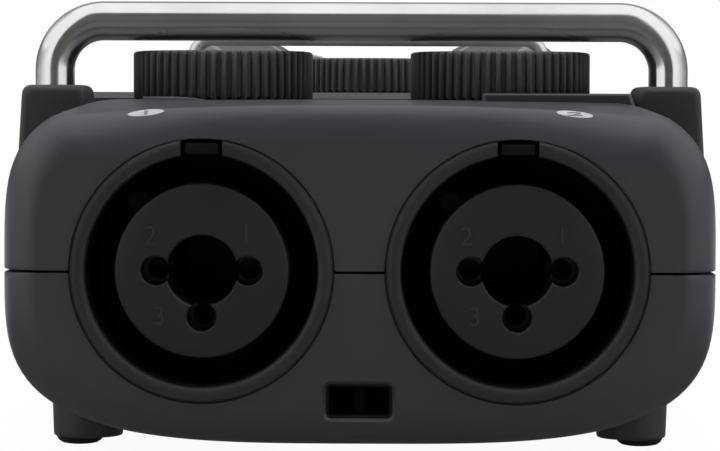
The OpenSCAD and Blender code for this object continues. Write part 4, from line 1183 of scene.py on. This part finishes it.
def build_jacks(parts):
    """Jack rings and throats, faces with contact holes and numerals, and release tabs."""
    reach = parts.contact_circle
    for i in SIDES:
        jack, tab = f"jack_shell_{i}", f"release_tab_{i}"
        spot = along_depth(middle(jack).x, 0.0, middle(jack).z)
        # The throats take the near-black recess finish, which is painted shade inside the jacks
        for line, label, cover, replaced in ((JACK_RING, "jack_ring", "ring", [jack]),
                                             (JACK_THROAT, "jack_throat", "dark", [])):
            shell = solid(lathe(line, 0, 160, loop=True))
            carve(shell, moved(slug(NOTCH_W, NOTCH_H, 0.25, NOTCH_FLOOR, 1.0), 0, NOTCH_Y))
            shell.data.transform(spot)
            finished(shell, f"{label}_{i}", cover, "recorder", "black_plastic", *replaced)
        face = solid(lathe(JACK_FACE, 0, 160))
        carve(face, rod(parts.phone_r, -29, FACE_Z, -0.16, 96))
        holes = [moved(rod(parts.contact_r, -14, FACE_Z, -0.12, 40), reach * math.cos(a), reach * math.sin(a))
                 for a in (0, math.pi, 1.5 * math.pi)]
        carve(face, joined(*holes))
        face.data.transform(spot)
        finished(face, f"jack_face_{i}", "jack", "recorder", "black_plastic", f"jack_insert_{i}")
        # The guide key takes the near-black recess finish, which is painted shade inside the jack
        guide = moved(lathe(GUIDE, 0.4, 32), *GUIDE_PLACE)
        finished(turned(guide, spot), f"jack_key_{i}", "dark", "recorder", "black_plastic")
        marks = [moved(lettering(text, NUMERAL_H, 0.16), x, y, FACE_Z + 0.02) for text, x, y in NUMERALS]
        finished(turned(joined(*marks), spot), f"jack_numerals_{i}", "numeral", "recorder", "black_plastic")
        size = extent(tab)
        lever = turned(slug(size.x, size.z, 0.25, -size.y / 2, size.y / 2, 0.3),
                       Matrix.Translation(middle(tab)) @ TO_FRONT)
        finished(lever, f"tab_lever_{i}", "tab", f"{tab}_body", "tab_metal", tab)


# Keys and display

SIGN_H = 0.05
SIGN_SINK = 0.06
TRIANGLES = {
    "rewind_key": ((-0.9, 1.6, -1), (0.8, 1.6, -1)),
    "play_key": ((0.0, 2.1, 1),),
    "forward_key": ((-0.8, 1.6, 1), (0.9, 1.6, 1)),
}


def triangle(x, size, way):
    """A transport triangle pointing along X."""
    half = way * size / 2
    return plate([(x - half, -size * 0.55), (x + half, 0.0), (x - half, size * 0.55)][::way], 0.0, SIGN_H)


def key_sign(name):
    """The standard sign of a transport key, or a track key's number, about the origin."""
    if name == "stop_key":
        return slug(1.9, 1.9, 0.1, 0.0, SIGN_H)
    if name in TRIANGLES:
        return joined(*(triangle(*row) for row in TRIANGLES[name]))
    return lettering(name[-1], 1.7, SIGN_H)


def build_keys():
    """Deck keys with soft caps, flanges and printed signs, and the dished record key."""
    for name in KEYS:
        low, high = heights(name)
        w, d = key_cap(name)
        cap = joined(slug(w, d, 1.0, low, high - SIGN_SINK, 0.45, steps=5),
                     slug(w + 2 * KEY_FLANGE, d + 2 * KEY_FLANGE, 0.4, low + 0.05, low + 1.0))
        finished(over(name, cap), f"{name}_cap", "key", f"{name}_body", "key_grey", name)
        sign = over(name, key_sign(name), high - SIGN_SINK)
        finished(sign, f"{name}_sign", "print", f"{name}_body", "key_grey")
    low, high = heights("record_key")
    r = record_radius()
    line = [(0, low), (r + RECORD_FLANGE, low), (r + RECORD_FLANGE, low + 1), (r, low + 1), (r, high - 0.5),
            (r - 0.15, high - 0.18), (r - 0.5, high), (r - 1.0, high - 0.02), (r - 1.6, high - 0.2),
            (0, high - 0.3)]
    cap = over("record_key", lathe(line))
    finished(cap, "record_cap", "record", "record_key_body", "record_red", "record_key")


BORDER_X = 3.5
BORDER_Y = 4


def build_display():
    """Display window with its dark border."""
    name = "display_window"
    low, high = heights(name)
    size = extent(name)
    pane = slug(size.x, size.y, 2.0, low + 0.1, high, 0.2)
    finished(over(name, pane), "window_pane", "window", "recorder", "window", name)
    ring = solid(over(name, slug(size.x - 0.3, size.y - 0.3, 1.9, low + 0.01, low + 0.06)))
    carve(ring, over(name, slug(size.x - 2 * BORDER_X, size.y - 2 * BORDER_Y, 0.8, low - 2, low + 2)))
    finished(ring, "window_border", "border", "recorder", "window")


# Sides

SIDE_BUTTONS = (
    ("menu_key", "menu_cap", 1, (7, 3.4, 0.4), (8.2, 4.6)),
    ("power_switch", "power_slider", -1, (6, 3.0, 0.35), (9.0, 4.2)),
    ("volume_rocker", "volume_rocker_cap", -1, (14, 3.4, 0.45), (3.0, 3.4)),
)
SCROLL_RIBS = 32
SCROLL_RIB_H = 0.4
HINGE_R = 0.6


def build_sides():
    """Controls on the case's sides and the card door."""
    for name, piece, side, (run, rise, edge), flange in SIDE_BUTTONS:
        back, face = side_span(name, side)
        button = joined(slug(run, rise, 1.0, back + 0.05, face, edge, steps=5),
                        slug(*flange, 0.3, back + 0.1, back + 1.0))
        button = turned(button, out_of_side(side, depth_of(name), middle(name).z))
        finished(button, piece, "key", f"{name}_body", "key_grey", name)
    radius, thick = extent("scroll_wheel").x / 2, extent("scroll_wheel").z
    root, soft = radius - SCROLL_RIB_H, radius - 0.7
    line = [(1.0, 0.0), (soft, 0.0), (root, 0.25), (root, thick - 0.25), (soft, thick), (1.0, thick)]
    rib = moved(rib_shape(thick - 0.2, SCROLL_RIB_H, 0.6, 0.4), 0, 0, 0.1)
    core = lathe(line, 0, 96, loop=True)
    ribbed("scroll_wheel", core, SCROLL_RIBS, root, rib, box_mm("scroll_wheel")[0].z)
    name = "card_door"
    low, high = box_mm(name)
    run = high.y - low.y
    door = turned(slug(run - 1.6, high.z - low.z, 0.5, low.x - HALF_W, high.x - HALF_W, 0.3),
                  out_of_side(1, depth_of(name), middle(name).z))
    pin = moved(turned(rod(HINGE_R - 0.02, -run / 2, run / 2, 0, 24), TO_FRONT),
                high.x - HINGE_R, middle(name).y, low.z + HINGE_R)
    finished(joined(door, pin), "card_flap", "slate", "card_door_body", "slate", name)


# Base

FOOT = [(0, 0.08), (0.6, 0.06), (0.8, 0.0), (1.3, 0.0), (1.7, 0.09), (2.05, 0.32), (FOOT_R, 0.7),
        (FOOT_R, 1.55), (0, 1.55)]
SCREW = [(0, 0), (1.8, 0), (2.15, 0.35), (2.15, 1.6), (0, 1.6)]
THREAD_TURNS = 9
THREAD_PITCH = 0.85
THREAD_FLANK = 0.42


def scattered(shape, places, cover):
    """A working object with a mesh on each of the given places."""
    spots = bmesh.new()
    for place in places:
        spots.verts.new(place)
    return grown(solid(spots), scatter_tree, cover, Shape=solid(shape, "pattern"))


def build_base():
    """Feet, screws, tripod nut and strap pin."""
    feet = scattered(lathe(FOOT, 0, 40), [(x, y, 0) for x, y in corners_of("rubber_feet", FOOT_R)], "rubber")
    finished(feet, "foot_pads", "rubber", "recorder", "rubber", "rubber_feet")
    head = solid(lathe(SCREW, 0, 24))
    for w, d in ((2.2, 0.5), (0.5, 2.2)):
        carve(head, slug(w, d, 0.1, -0.5, 0.7))
    low = box_mm("case_screws")[0].z
    screws = scattered(melted(head), [(x, y, low) for x, y in corners_of("case_screws", SCREW_R)], "steel")
    finished(screws, "case_screw_heads", "steel", "recorder", "steel", "case_screws")
    low = box_mm("tripod_nut")[0].z
    thread = [(3.4, low + 0.1), (2.95, low)]
    for k in range(THREAD_TURNS):
        z = low + 0.25 + k * THREAD_PITCH
        thread += [(2.55, z), (2.95, z + THREAD_FLANK)]
    thread += [(2.55, low + 8.0), (5.0, low + 8.0), (5.0, low + 2.4), (3.4, low + 2.4)]
    finished(over("tripod_nut", lathe(thread, 0, 64, loop=True)), "tripod_bush", "brass", "recorder", "brass",
             "tripod_nut")
    low, high = heights("strap_pin")
    pin = lathe([(0, low), (0.88, low), (0.88, high), (0, high)], 0.1, 32)
    # The steel pin takes the near-black recess finish, which is painted shade of the strap slot
    finished(over("strap_pin", pin), "strap_bar", "dark", "recorder", "steel", "strap_pin")
    # The cup lines the strap slot in near-black, which is painted shade of the deep slot
    cup = solid(slug(SLOT_W - 0.04, SLOT_H - 0.04, SLOT_R, -7.1, -0.35))
    carve(cup, slug(SLOT_W - 0.5, SLOT_H - 0.5, SLOT_R - 0.2, -6.9, 1.0))
    cup.data.transform(along_depth(0, SLOT_D, SLOT_Z))
    finished(cup, "strap_cup", "slot", "recorder", "black_plastic")


# Microphone module

SEAM_FAR = 12.6
SEAM_W = 0.6
SEAM_DEPTH = 0.35
LATCH_L = 9
LATCH_H = 6
LATCH_GAP = 0.3
LATCH_FLANGE = 0.6


def build_module(sizes):
    """Module shell with its wheel collar, seam and openings, and its two latches."""
    low, high = box_mm("module_case")
    near, far = low.y - FRONT_Y, high.y - FRONT_Y
    inset, wall = sizes.module_inset, sizes.wall
    ends = sizes.far_round, sizes.module_round
    top = solid(full_case(sizes, inset, near, far, *ends))
    carve(top, full_case(sizes, inset + wall, near + wall, far - wall, *ends))
    deck = DECK_Z - inset
    r = extent("mic_wheel").x / 2 + 0.9
    collar = [(0, deck - 0.8), (r + 0.5, deck - 0.8), (r, deck + 0.3), (r, high.z), (0, high.z)]
    carve(top, over("mic_wheel", lathe(collar, 0.25, 128)), operation="UNION")
    carve(top, over("mic_wheel", rod(SHAFT_R, 28, 40)))
    carve(top, leg_bores("wheel_guard", HOOP_R, 1.05, box_mm("wheel_guard")[0].z, deck, 48))
    latch = depth_of("module_latch_2"), middle("module_latch_2").z
    run, rise = LATCH_L + 2 * LATCH_GAP, LATCH_H + 2 * LATCH_GAP
    windows = [turned(slug(run, rise, 0.8, -6, -inset, -0.25), out_of_side(side, *latch))
               for side in SIDES.values()]
    carve(top, joined(*windows))
    groove = solid(full_case(sizes, inset - 2, far - SEAM_FAR - SEAM_W, far - SEAM_FAR, 0.01, 0.01))
    carve(groove, full_case(sizes, inset + SEAM_DEPTH, far - 14, far - 12, 0.01, 0.01))
    carve(top, melted(groove))
    carve(top, plug_opening(near, 21.5, 2.5, 0.3))
    finished(top, "module_shell", "slate", "mic_module", "slate", "module_case", weighted=True)
    for i, side in SIDES.items():
        name = f"module_latch_{i}"
        back, face = side_span(name, side)
        pad = slug(LATCH_L, LATCH_H, 0.8, back + 0.05, face, 0.35, steps=5)
        flange = slug(LATCH_L + 2 * LATCH_FLANGE, LATCH_H + 2 * LATCH_FLANGE, 0.4, back + 0.05, back + 1.0)
        pad = solid(joined(pad, flange))
        grooves = [moved(turned(rod(0.35, -2.2, 2.2, 0, 16), TO_FRONT), 1.5 * k, 0, face + 0.12)
                   for k in (-1, 0, 1)]
        carve(pad, joined(*grooves))
        pad.data.transform(out_of_side(side, depth_of(name), middle(name).z))
        finished(pad, f"latch_pad_{i}", "key", f"{name}_body", "key_grey", name)


# Microphones

MIC_ANGLE = math.pi / 4
MIC_X = 20.6
BARREL_R = 7.9
BARREL_HALF = 7.5
GRILLE_TOP = BARREL_HALF + 8.0
NET_R = 6.25
NET_LINES = 40
WIRE_R = 0.13
FOAM_R = 5.95
MOUNT_R = 9.7
MOUNT = [(7.95, -5), (9.3, -5), (MOUNT_R, -4.6), (MOUNT_R, -0.4), (9.3, 0), (7.95, 0)]
ARM_W = 9
ARM_IN = 1.2


def mic_frame(i, side):
    """Places a microphone whose Z points out of its grille."""
    return Matrix.Translation(middle(f"mic_barrel_{i}")) @ Matrix.Rotation(side * MIC_ANGLE, 4, "Z") @ TO_BACK


def dome_line(radius, base):
    """Points from a grille's foot to its pole, as radius and height."""
    rows = [(radius, base + (GRILLE_TOP - base) * k / 4) for k in range(4)]
    return rows + [(radius * math.cos(a), GRILLE_TOP + radius * math.sin(a)) for a in quarter(9)[:-1]]


def wire_dome(radius, base):
    """A net of crossing lines over a grille's surface."""
    bm = bmesh.new()
    rows = []
    for i, (r, z) in enumerate(dome_line(radius, base)):
        turns = [2 * math.pi * (j + 0.5 * (i % 2)) / NET_LINES for j in range(NET_LINES)]
        rows.append([bm.verts.new((r * math.cos(a), r * math.sin(a), z)) for a in turns])
    for i, (near, far) in enumerate(zip(rows, rows[1:])):
        way = -1 if i % 2 == 0 else 1
        for j in range(NET_LINES):
            bm.edges.new((near[j], far[j]))
            bm.edges.new((near[j], far[(j + way) % NET_LINES]))
    return bm


def barrel_line():
    """A barrel's wall: open at the grille's end, with a groove near it and a small vent behind."""
    r, half, bore = BARREL_R, BARREL_HALF, 6.75
    return [(bore, half - 3), (bore, half - 0.25), (7.0, half), (r - 0.4, half), (r, half - 0.4),
            (r, half - 1.9), (r - 0.25, half - 2.1), (r - 0.25, half - 2.5), (r, half - 2.7), (r, 0.4 - half),
            (r - 0.4, -half), (3.0, -half), (3.0, 0.6 - half), (0.8, 0.6 - half), (0.8, 1.2 - half),
            (bore, 1.2 - half)]


def build_microphones():
    """Barrels, woven grilles, rubber mounts and arms."""
    half = BARREL_HALF
    mount_z = box_mm("shock_rings")[1].z
    low, high = box_mm("mic_arms")
    arms = []
    for i, side in SIDES.items():
        spot = mic_frame(i, side)
        barrel = turned(lathe(barrel_line(), 0, 96, loop=True), spot)
        finished(barrel, f"barrel_{i}", "barrel", "mic_module", "bright_metal", f"mic_barrel_{i}")
        net = grown(solid(wire_dome(NET_R, half - 2.4)), wire_tree, "grille", Radius=WIRE_R, Sides=5)
        net.data.transform(spot)
        finished(net, f"grille_net_{i}", "grille", "mic_module", "grille_metal", f"mic_grille_{i}",
                 sharp=60)
        band = lathe([(6.05, half - 2.8), (6.7, half - 2.8), (6.7, half + 0.15), (6.4, half + 0.45),
                      (6.05, half + 0.45)], 0, 96, loop=True)
        cap = moved(lathe([(0, 0), (0.9, 0), (0.8, 0.2), (0, 0.28)], 0, 24), 0, 0, GRILLE_TOP + 6.1)
        finished(turned(joined(band, cap), spot), f"grille_band_{i}", "barrel", "mic_module", "grille_metal")
        base = half - 2.6
        foam = lathe([(0, base)] + dome_line(FOAM_R, base) + [(0, GRILLE_TOP + FOAM_R)], 0, 64)
        finished(turned(foam, spot), f"grille_foam_{i}", "foam", "mic_module", "rubber")
        mount = solid(lathe(MOUNT, 0, 96, loop=True))
        mount.data.transform(spot)
        carve(mount, moved(slug(60, 60, 1, mount_z, mount_z + 40), side * MIC_X, middle("shock_rings").y))
        replaced = ("shock_rings",) if side > 0 else ()
        finished(mount, f"mount_ring_{i}", "rubber", "mic_module", "rubber", *replaced)
        arm = slug(ARM_W, high.y - low.y + ARM_IN, 2.0, low.z, high.z, 0.8, 0.8)
        arm = solid(moved(arm, side * MIC_X, (low.y + high.y - ARM_IN) / 2))
        arms.append(melted(carve(arm, turned(rod(MOUNT_R + 0.05, -16, 16), spot))))
    finished(joined(*arms), "mic_arm_pair", "slate", "mic_module", "slate", "mic_arms", weighted=True)


# Channel badges

BADGE_PLACES = {"1": -19.95, "2": 20.0}
BADGE_Z = 31.65
BADGE_H = 0.08
BADGE_LEAN = 0.1
BADGE_FLAT = 0.165
BADGE_RINGS = 4
BADGE_NUMERAL_H = 1.3
NUMERAL_FLAT = (1.9, 0.26, 1, 1)


def build_badges(radius):
    """Channel badges with their numerals, drawn flattened as seen from the front and laid on the slope."""
    shell = bpy.data.objects["upper_shell"]
    rings = [radius * k / BADGE_RINGS for k in range(BADGE_RINGS + 1)]
    for text, x in BADGE_PLACES.items():
        disc = lathe([(r, 0.0) for r in rings] + [(r, BADGE_H) for r in reversed(rings)], 0, 48)
        lean = -math.copysign(BADGE_LEAN, x)
        turned(disc, Matrix(((1, 0, 0, x), (lean, BADGE_FLAT, 0, BADGE_Z), (0, 0, 1, 0), (0, 0, 0, 1))))
        finished(drape(disc, shell, -0.03), f"badge_{text}", "badge", "recorder", "key_grey")
        mark = turned(lettering(text, BADGE_NUMERAL_H, 0.05), Matrix.Diagonal(NUMERAL_FLAT))
        drape(moved(mark, x, BADGE_Z), shell, 0.06)
        finished(mark, f"badge_numeral_{text}", "badge_dark", "recorder", "black_plastic")


# Pieces that keep the imported model's shape

# The jack contacts take the darkened bronze, whose darkness is painted shade of their holes
KEPT = {
    "jack_contacts": "contact", "main_board": "board", "input_board": "board", "gain_pots": "steel",
    "lcd_panel": "lcd", "key_switches": "key", "audio_jacks": "jack", "usb_port": "steel",
    "card_slot": "steel", "battery_cells": "wrap", "battery_contacts": "steel", "speaker": "jack",
    "board_screws": "steel", "module_socket": "jack", "module_plug": "jack", "wheel_pot": "steel",
    "mic_capsules": "brass",
}


def build_insides():
    """Finishes for the inner pieces, which keep their shape."""
    for name, cover in KEPT.items():
        mesh = NODES[name].data
        mesh.materials.clear()
        mesh.materials.append(FINISHES[cover])


# Stage, in metres

FRONT = FRONT_Y * MM
SIDE_GLOW = (math.radians(20), math.radians(27), 0.0, 1.0)
TARGET = (0.0, FRONT + 0.02, 0.02)
SOFTBOXES = (
    ("overhead", (0.7, 0.6), (0.0, FRONT + 0.05, 0.75), 5.2),
    ("left_soft", (0.5, 0.5), (-0.5, FRONT + 0.03, 0.5), 5.0),
    ("right_soft", (0.5, 0.5), (0.5, FRONT + 0.03, 0.5), 5.6),
    ("front_soft", (0.9, 0.5), (0.0, FRONT - 0.9, 0.5), 0.3),
)


def softbox(name, size, place, power):
    """A rectangular soft light aimed at the jack end."""
    lamp = bpy.data.lights.new(name, "AREA")
    lamp.shape = "RECTANGLE"
    lamp.size, lamp.size_y = size
    lamp.energy = power
    holder = bpy.data.objects.new(name, lamp)
    holder.location = place
    holder.rotation_euler = (Vector(TARGET) - Vector(place)).to_track_quat("-Z", "Y").to_euler()
    holder.visible_glossy = False
    bpy.context.scene.collection.objects.link(holder)


def build_floor(tone):
    """A pale floor, white but for the shadow. Mirrored, it is white behind the recorder, dark before it."""
    bm = bmesh.new()
    bmesh.ops.create_grid(bm, x_segments=8, y_segments=8, size=3.0)
    floor = solid(bm, "floor")
    material = bpy.data.materials.new("pale_floor")
    material.use_nodes = True
    tree = material.node_tree
    calc, span = partial(maths, tree), partial(ranged, tree)
    shader = tree.nodes["Principled BSDF"]
    shader.inputs["Base Color"].default_value = (*tone, 1.0)
    shader.inputs["Roughness"].default_value = 0.9
    shader.inputs["Specular IOR Level"].default_value = 0.1
    place = node(tree, "ShaderNodeTexCoord").outputs["Object"]
    rays = node(tree, "ShaderNodeLightPath").outputs
    away = node(tree, "ShaderNodeVectorMath", {0: place}, operation="LENGTH").outputs["Value"]
    axes = node(tree, "ShaderNodeSeparateXYZ", {"Vector": place}).outputs
    seen = calc("MULTIPLY", rays["Is Camera Ray"], span(away, 0.14, 0.4, 0.955, 1.0))
    level = calc("MAXIMUM", span(axes["Y"], FRONT + 0.02, FRONT + 0.12, 0.0, 1.0),
                 span(away, 0.1, 0.9, 0.12, 0.085))
    turn = calc("ARCTAN2", calc("ABSOLUTE", axes["X"]), calc("SUBTRACT", FRONT, axes["Y"]))
    beside = calc("MULTIPLY", span(turn, *SIDE_GLOW), span(away, 0.1, 0.6, 0.0, 1.0))
    mirrored = calc("MAXIMUM", level, beside)
    glow = node(tree, "ShaderNodeEmission", {"Strength": calc("MAXIMUM", rays["Is Camera Ray"], mirrored)})
    mix = node(tree, "ShaderNodeMixShader", {
        "Fac": calc("MAXIMUM", seen, rays["Is Glossy Ray"]),
        1: shader.outputs["BSDF"], 2: glow.outputs["Emission"]})
    feed(tree, tree.nodes["Material Output"].inputs["Surface"], mix.outputs["Shader"])
    floor.data.materials.append(material)


def build_world(fill):
    """White for what is seen and mirrored, dark where the camera stands, and a plain grey as fill light."""
    world = bpy.data.worlds.new("studio")
    bpy.context.scene.world = world
    world.use_nodes = True
    tree = world.node_tree
    calc, span = partial(maths, tree), partial(ranged, tree)
    back = tree.nodes["Background"]
    rays = node(tree, "ShaderNodeLightPath").outputs
    place = node(tree, "ShaderNodeTexCoord").outputs["Generated"]
    axes = node(tree, "ShaderNodeSeparateXYZ", {"Vector": place}).outputs
    turn = calc("ARCTAN2", calc("ABSOLUTE", axes["X"]), calc("MULTIPLY", axes["Y"], -1.0))
    high = span(axes["Z"], 0.68, 0.78, 0.0, 1.0)
    raised = span(axes["Z"], 0.15, 0.35, 0.0, 1.0)
    beside = calc("MAXIMUM", span(turn, math.radians(50), math.radians(95), 1.0, 0.42), raised)
    behind = calc("MULTIPLY", beside, span(turn, math.radians(95), math.radians(145), 1.0, 0.3))
    lit_side = calc("MULTIPLY", calc("MAXIMUM", high, span(turn, *SIDE_GLOW)),
                    calc("MAXIMUM", behind, high))
    bright = calc("MAXIMUM", lit_side, span(axes["Z"], -0.1, 0.1, 0.06, 0.11))
    seen = calc("MAXIMUM", rays["Is Camera Ray"], rays["Is Transmission Ray"])
    shown = calc("MAXIMUM", calc("MULTIPLY", rays["Is Glossy Ray"], bright), seen)
    unseen = calc("SUBTRACT", 1.0, calc("MAXIMUM", rays["Is Glossy Ray"], seen))
    back.inputs["Color"].default_value = (1, 1, 1, 1)
    feed(tree, back.inputs["Strength"], calc("ADD", shown, calc("MULTIPLY", unseen, fill)))


def build_camera(stage):
    """The photograph's camera."""
    lens = bpy.data.cameras.new("camera")
    lens.sensor_width = 36.0
    lens.lens = stage.focal_px / stage.photo_w * lens.sensor_width
    lens.clip_start = 0.01
    camera = bpy.data.objects.new("camera", lens)
    bpy.context.scene.collection.objects.link(camera)
    aside = (stage.middle_px - stage.photo_w / 2) / stage.focal_px
    turn = math.atan2(stage.camera_x, stage.camera_back) + aside
    place = Matrix.Translation((stage.camera_x, FRONT - stage.camera_back, stage.camera_z))
    level = Matrix.Rotation(turn, 4, "Z") @ Matrix.Rotation(math.pi / 2 - stage.pitch, 4, "X")
    camera.matrix_world = place @ level @ Matrix.Rotation(stage.roll, 4, "Z")
    bpy.context.scene.camera = camera


def build_stage(stage, tones):
    """Camera, floor, lights and background."""
    build_camera(stage)
    build_floor(tones.floor)
    build_world(stage.fill)
    for name, size, place, power in SOFTBOXES:
        softbox(name, size, place, power * stage.lamps)
    bpy.context.scene.view_settings.view_transform = "Standard"


# Operators

def ready(context):
    """The recorder's settings, once its finishes are made."""
    settings = context.scene.recorder
    if not FINISHES:
        make_finishes(settings.tones)
    return settings


class BuildStage(bpy.types.Operator):
    """Sets the camera, floor, lights and background."""

    bl_idname = "recorder.stage"
    bl_label = "Stage"

    def execute(self, context):
        settings = ready(context)
        build_stage(settings.stage, settings.tones)
        return {"FINISHED"}


class BuildShells(bpy.types.Operator):
    """Builds the upper and lower shells."""

    bl_idname = "recorder.shells"
    bl_label = "Shells"

    def execute(self, context):
        settings = ready(context)
        build_upper(settings.case, settings.parts)
        build_lower(settings.case, settings.parts)
        return {"FINISHED"}


class BuildCover(bpy.types.Operator):
    """Builds the battery cover."""

    bl_idname = "recorder.battery_cover"
    bl_label = "Battery cover"

    def execute(self, context):
        build_cover(ready(context).case)
        return {"FINISHED"}


class BuildModule(bpy.types.Operator):
    """Builds the microphone module's shell and latches."""

    bl_idname = "recorder.module"
    bl_label = "Microphone module"

    def execute(self, context):
        build_module(ready(context).case)
        return {"FINISHED"}


class BuildGuards(bpy.types.Operator):
    """Builds the guard bar, its posts and the hoop."""

    bl_idname = "recorder.guards"
    bl_label = "Guards"

    def execute(self, context):
        ready(context)
        build_guards()
        return {"FINISHED"}


class BuildJacks(bpy.types.Operator):
    """Builds the combination jacks and their release tabs."""

    bl_idname = "recorder.jacks"
    bl_label = "Jacks"

    def execute(self, context):
        build_jacks(ready(context).parts)
        return {"FINISHED"}


class BuildKnobs(bpy.types.Operator):
    """Builds the gain knobs and the microphone wheel."""

    bl_idname = "recorder.knobs"
    bl_label = "Knobs"

    def execute(self, context):
        build_knobs(ready(context).parts)
        return {"FINISHED"}


class BuildKeys(bpy.types.Operator):
    """Builds the keys on the deck."""

    bl_idname = "recorder.deck_keys"
    bl_label = "Keys"

    def execute(self, context):
        ready(context)
        build_keys()
        return {"FINISHED"}


class BuildDisplay(bpy.types.Operator):
    """Builds the display window."""

    bl_idname = "recorder.display"
    bl_label = "Display"

    def execute(self, context):
        ready(context)
        build_display()
        return {"FINISHED"}


class BuildSides(bpy.types.Operator):
    """Builds the controls on the sides."""

    bl_idname = "recorder.sides"
    bl_label = "Side controls"

    def execute(self, context):
        ready(context)
        build_sides()
        return {"FINISHED"}


class BuildBase(bpy.types.Operator):
    """Builds feet, screws, tripod nut and strap pin."""

    bl_idname = "recorder.base"
    bl_label = "Base"

    def execute(self, context):
        ready(context)
        build_base()
        return {"FINISHED"}


class BuildMicrophones(bpy.types.Operator):
    """Builds the microphones and their mounts."""

    bl_idname = "recorder.microphones"
    bl_label = "Microphones"

    def execute(self, context):
        ready(context)
        build_microphones()
        return {"FINISHED"}


class BuildBadges(bpy.types.Operator):
    """Lays the channel badges on the front slope."""

    bl_idname = "recorder.badges"
    bl_label = "Badges"

    def execute(self, context):
        build_badges(ready(context).parts.badge_r)
        return {"FINISHED"}


class FinishInsides(bpy.types.Operator):
    """Gives the inner pieces their finishes."""

    bl_idname = "recorder.insides"
    bl_label = "Insides"

    def execute(self, context):
        ready(context)
        build_insides()
        return {"FINISHED"}


STEPS = (BuildStage, BuildShells, BuildCover, BuildModule, BuildGuards, BuildJacks, BuildKnobs, BuildKeys,
         BuildDisplay, BuildSides, BuildBase, BuildMicrophones, BuildBadges, FinishInsides)


class RecorderPanel(bpy.types.Panel):
    """Lists the steps that build the recorder."""

    bl_idname = "VIEW3D_PT_recorder"
    bl_label = "Recorder"
    bl_space_type = "VIEW_3D"
    bl_region_type = "UI"
    bl_category = "Recorder"

    def draw(self, context):
        for step in STEPS:
            self.layout.operator(step.bl_idname)


CLASSES = (CaseSizes, PartSizes, Colours, StageSizes, RecorderSettings, *STEPS, RecorderPanel)


def register():
    """Registers the settings, steps and panel."""
    for group in CLASSES:
        bpy.utils.register_class(group)
    bpy.types.Scene.recorder = bpy.props.PointerProperty(type=RecorderSettings)


def unregister():
    """Removes what register added."""
    del bpy.types.Scene.recorder
    for group in reversed(CLASSES):
        bpy.utils.unregister_class(group)


def main():
    """Builds the recorder."""
    register()
    for step in STEPS:
        group, name = step.bl_idname.split(".")
        if getattr(getattr(bpy.ops, group), name)() != {"FINISHED"}:
            raise RuntimeError(f"{step.bl_label} did not finish")


if __name__ == "__main__":
    main()
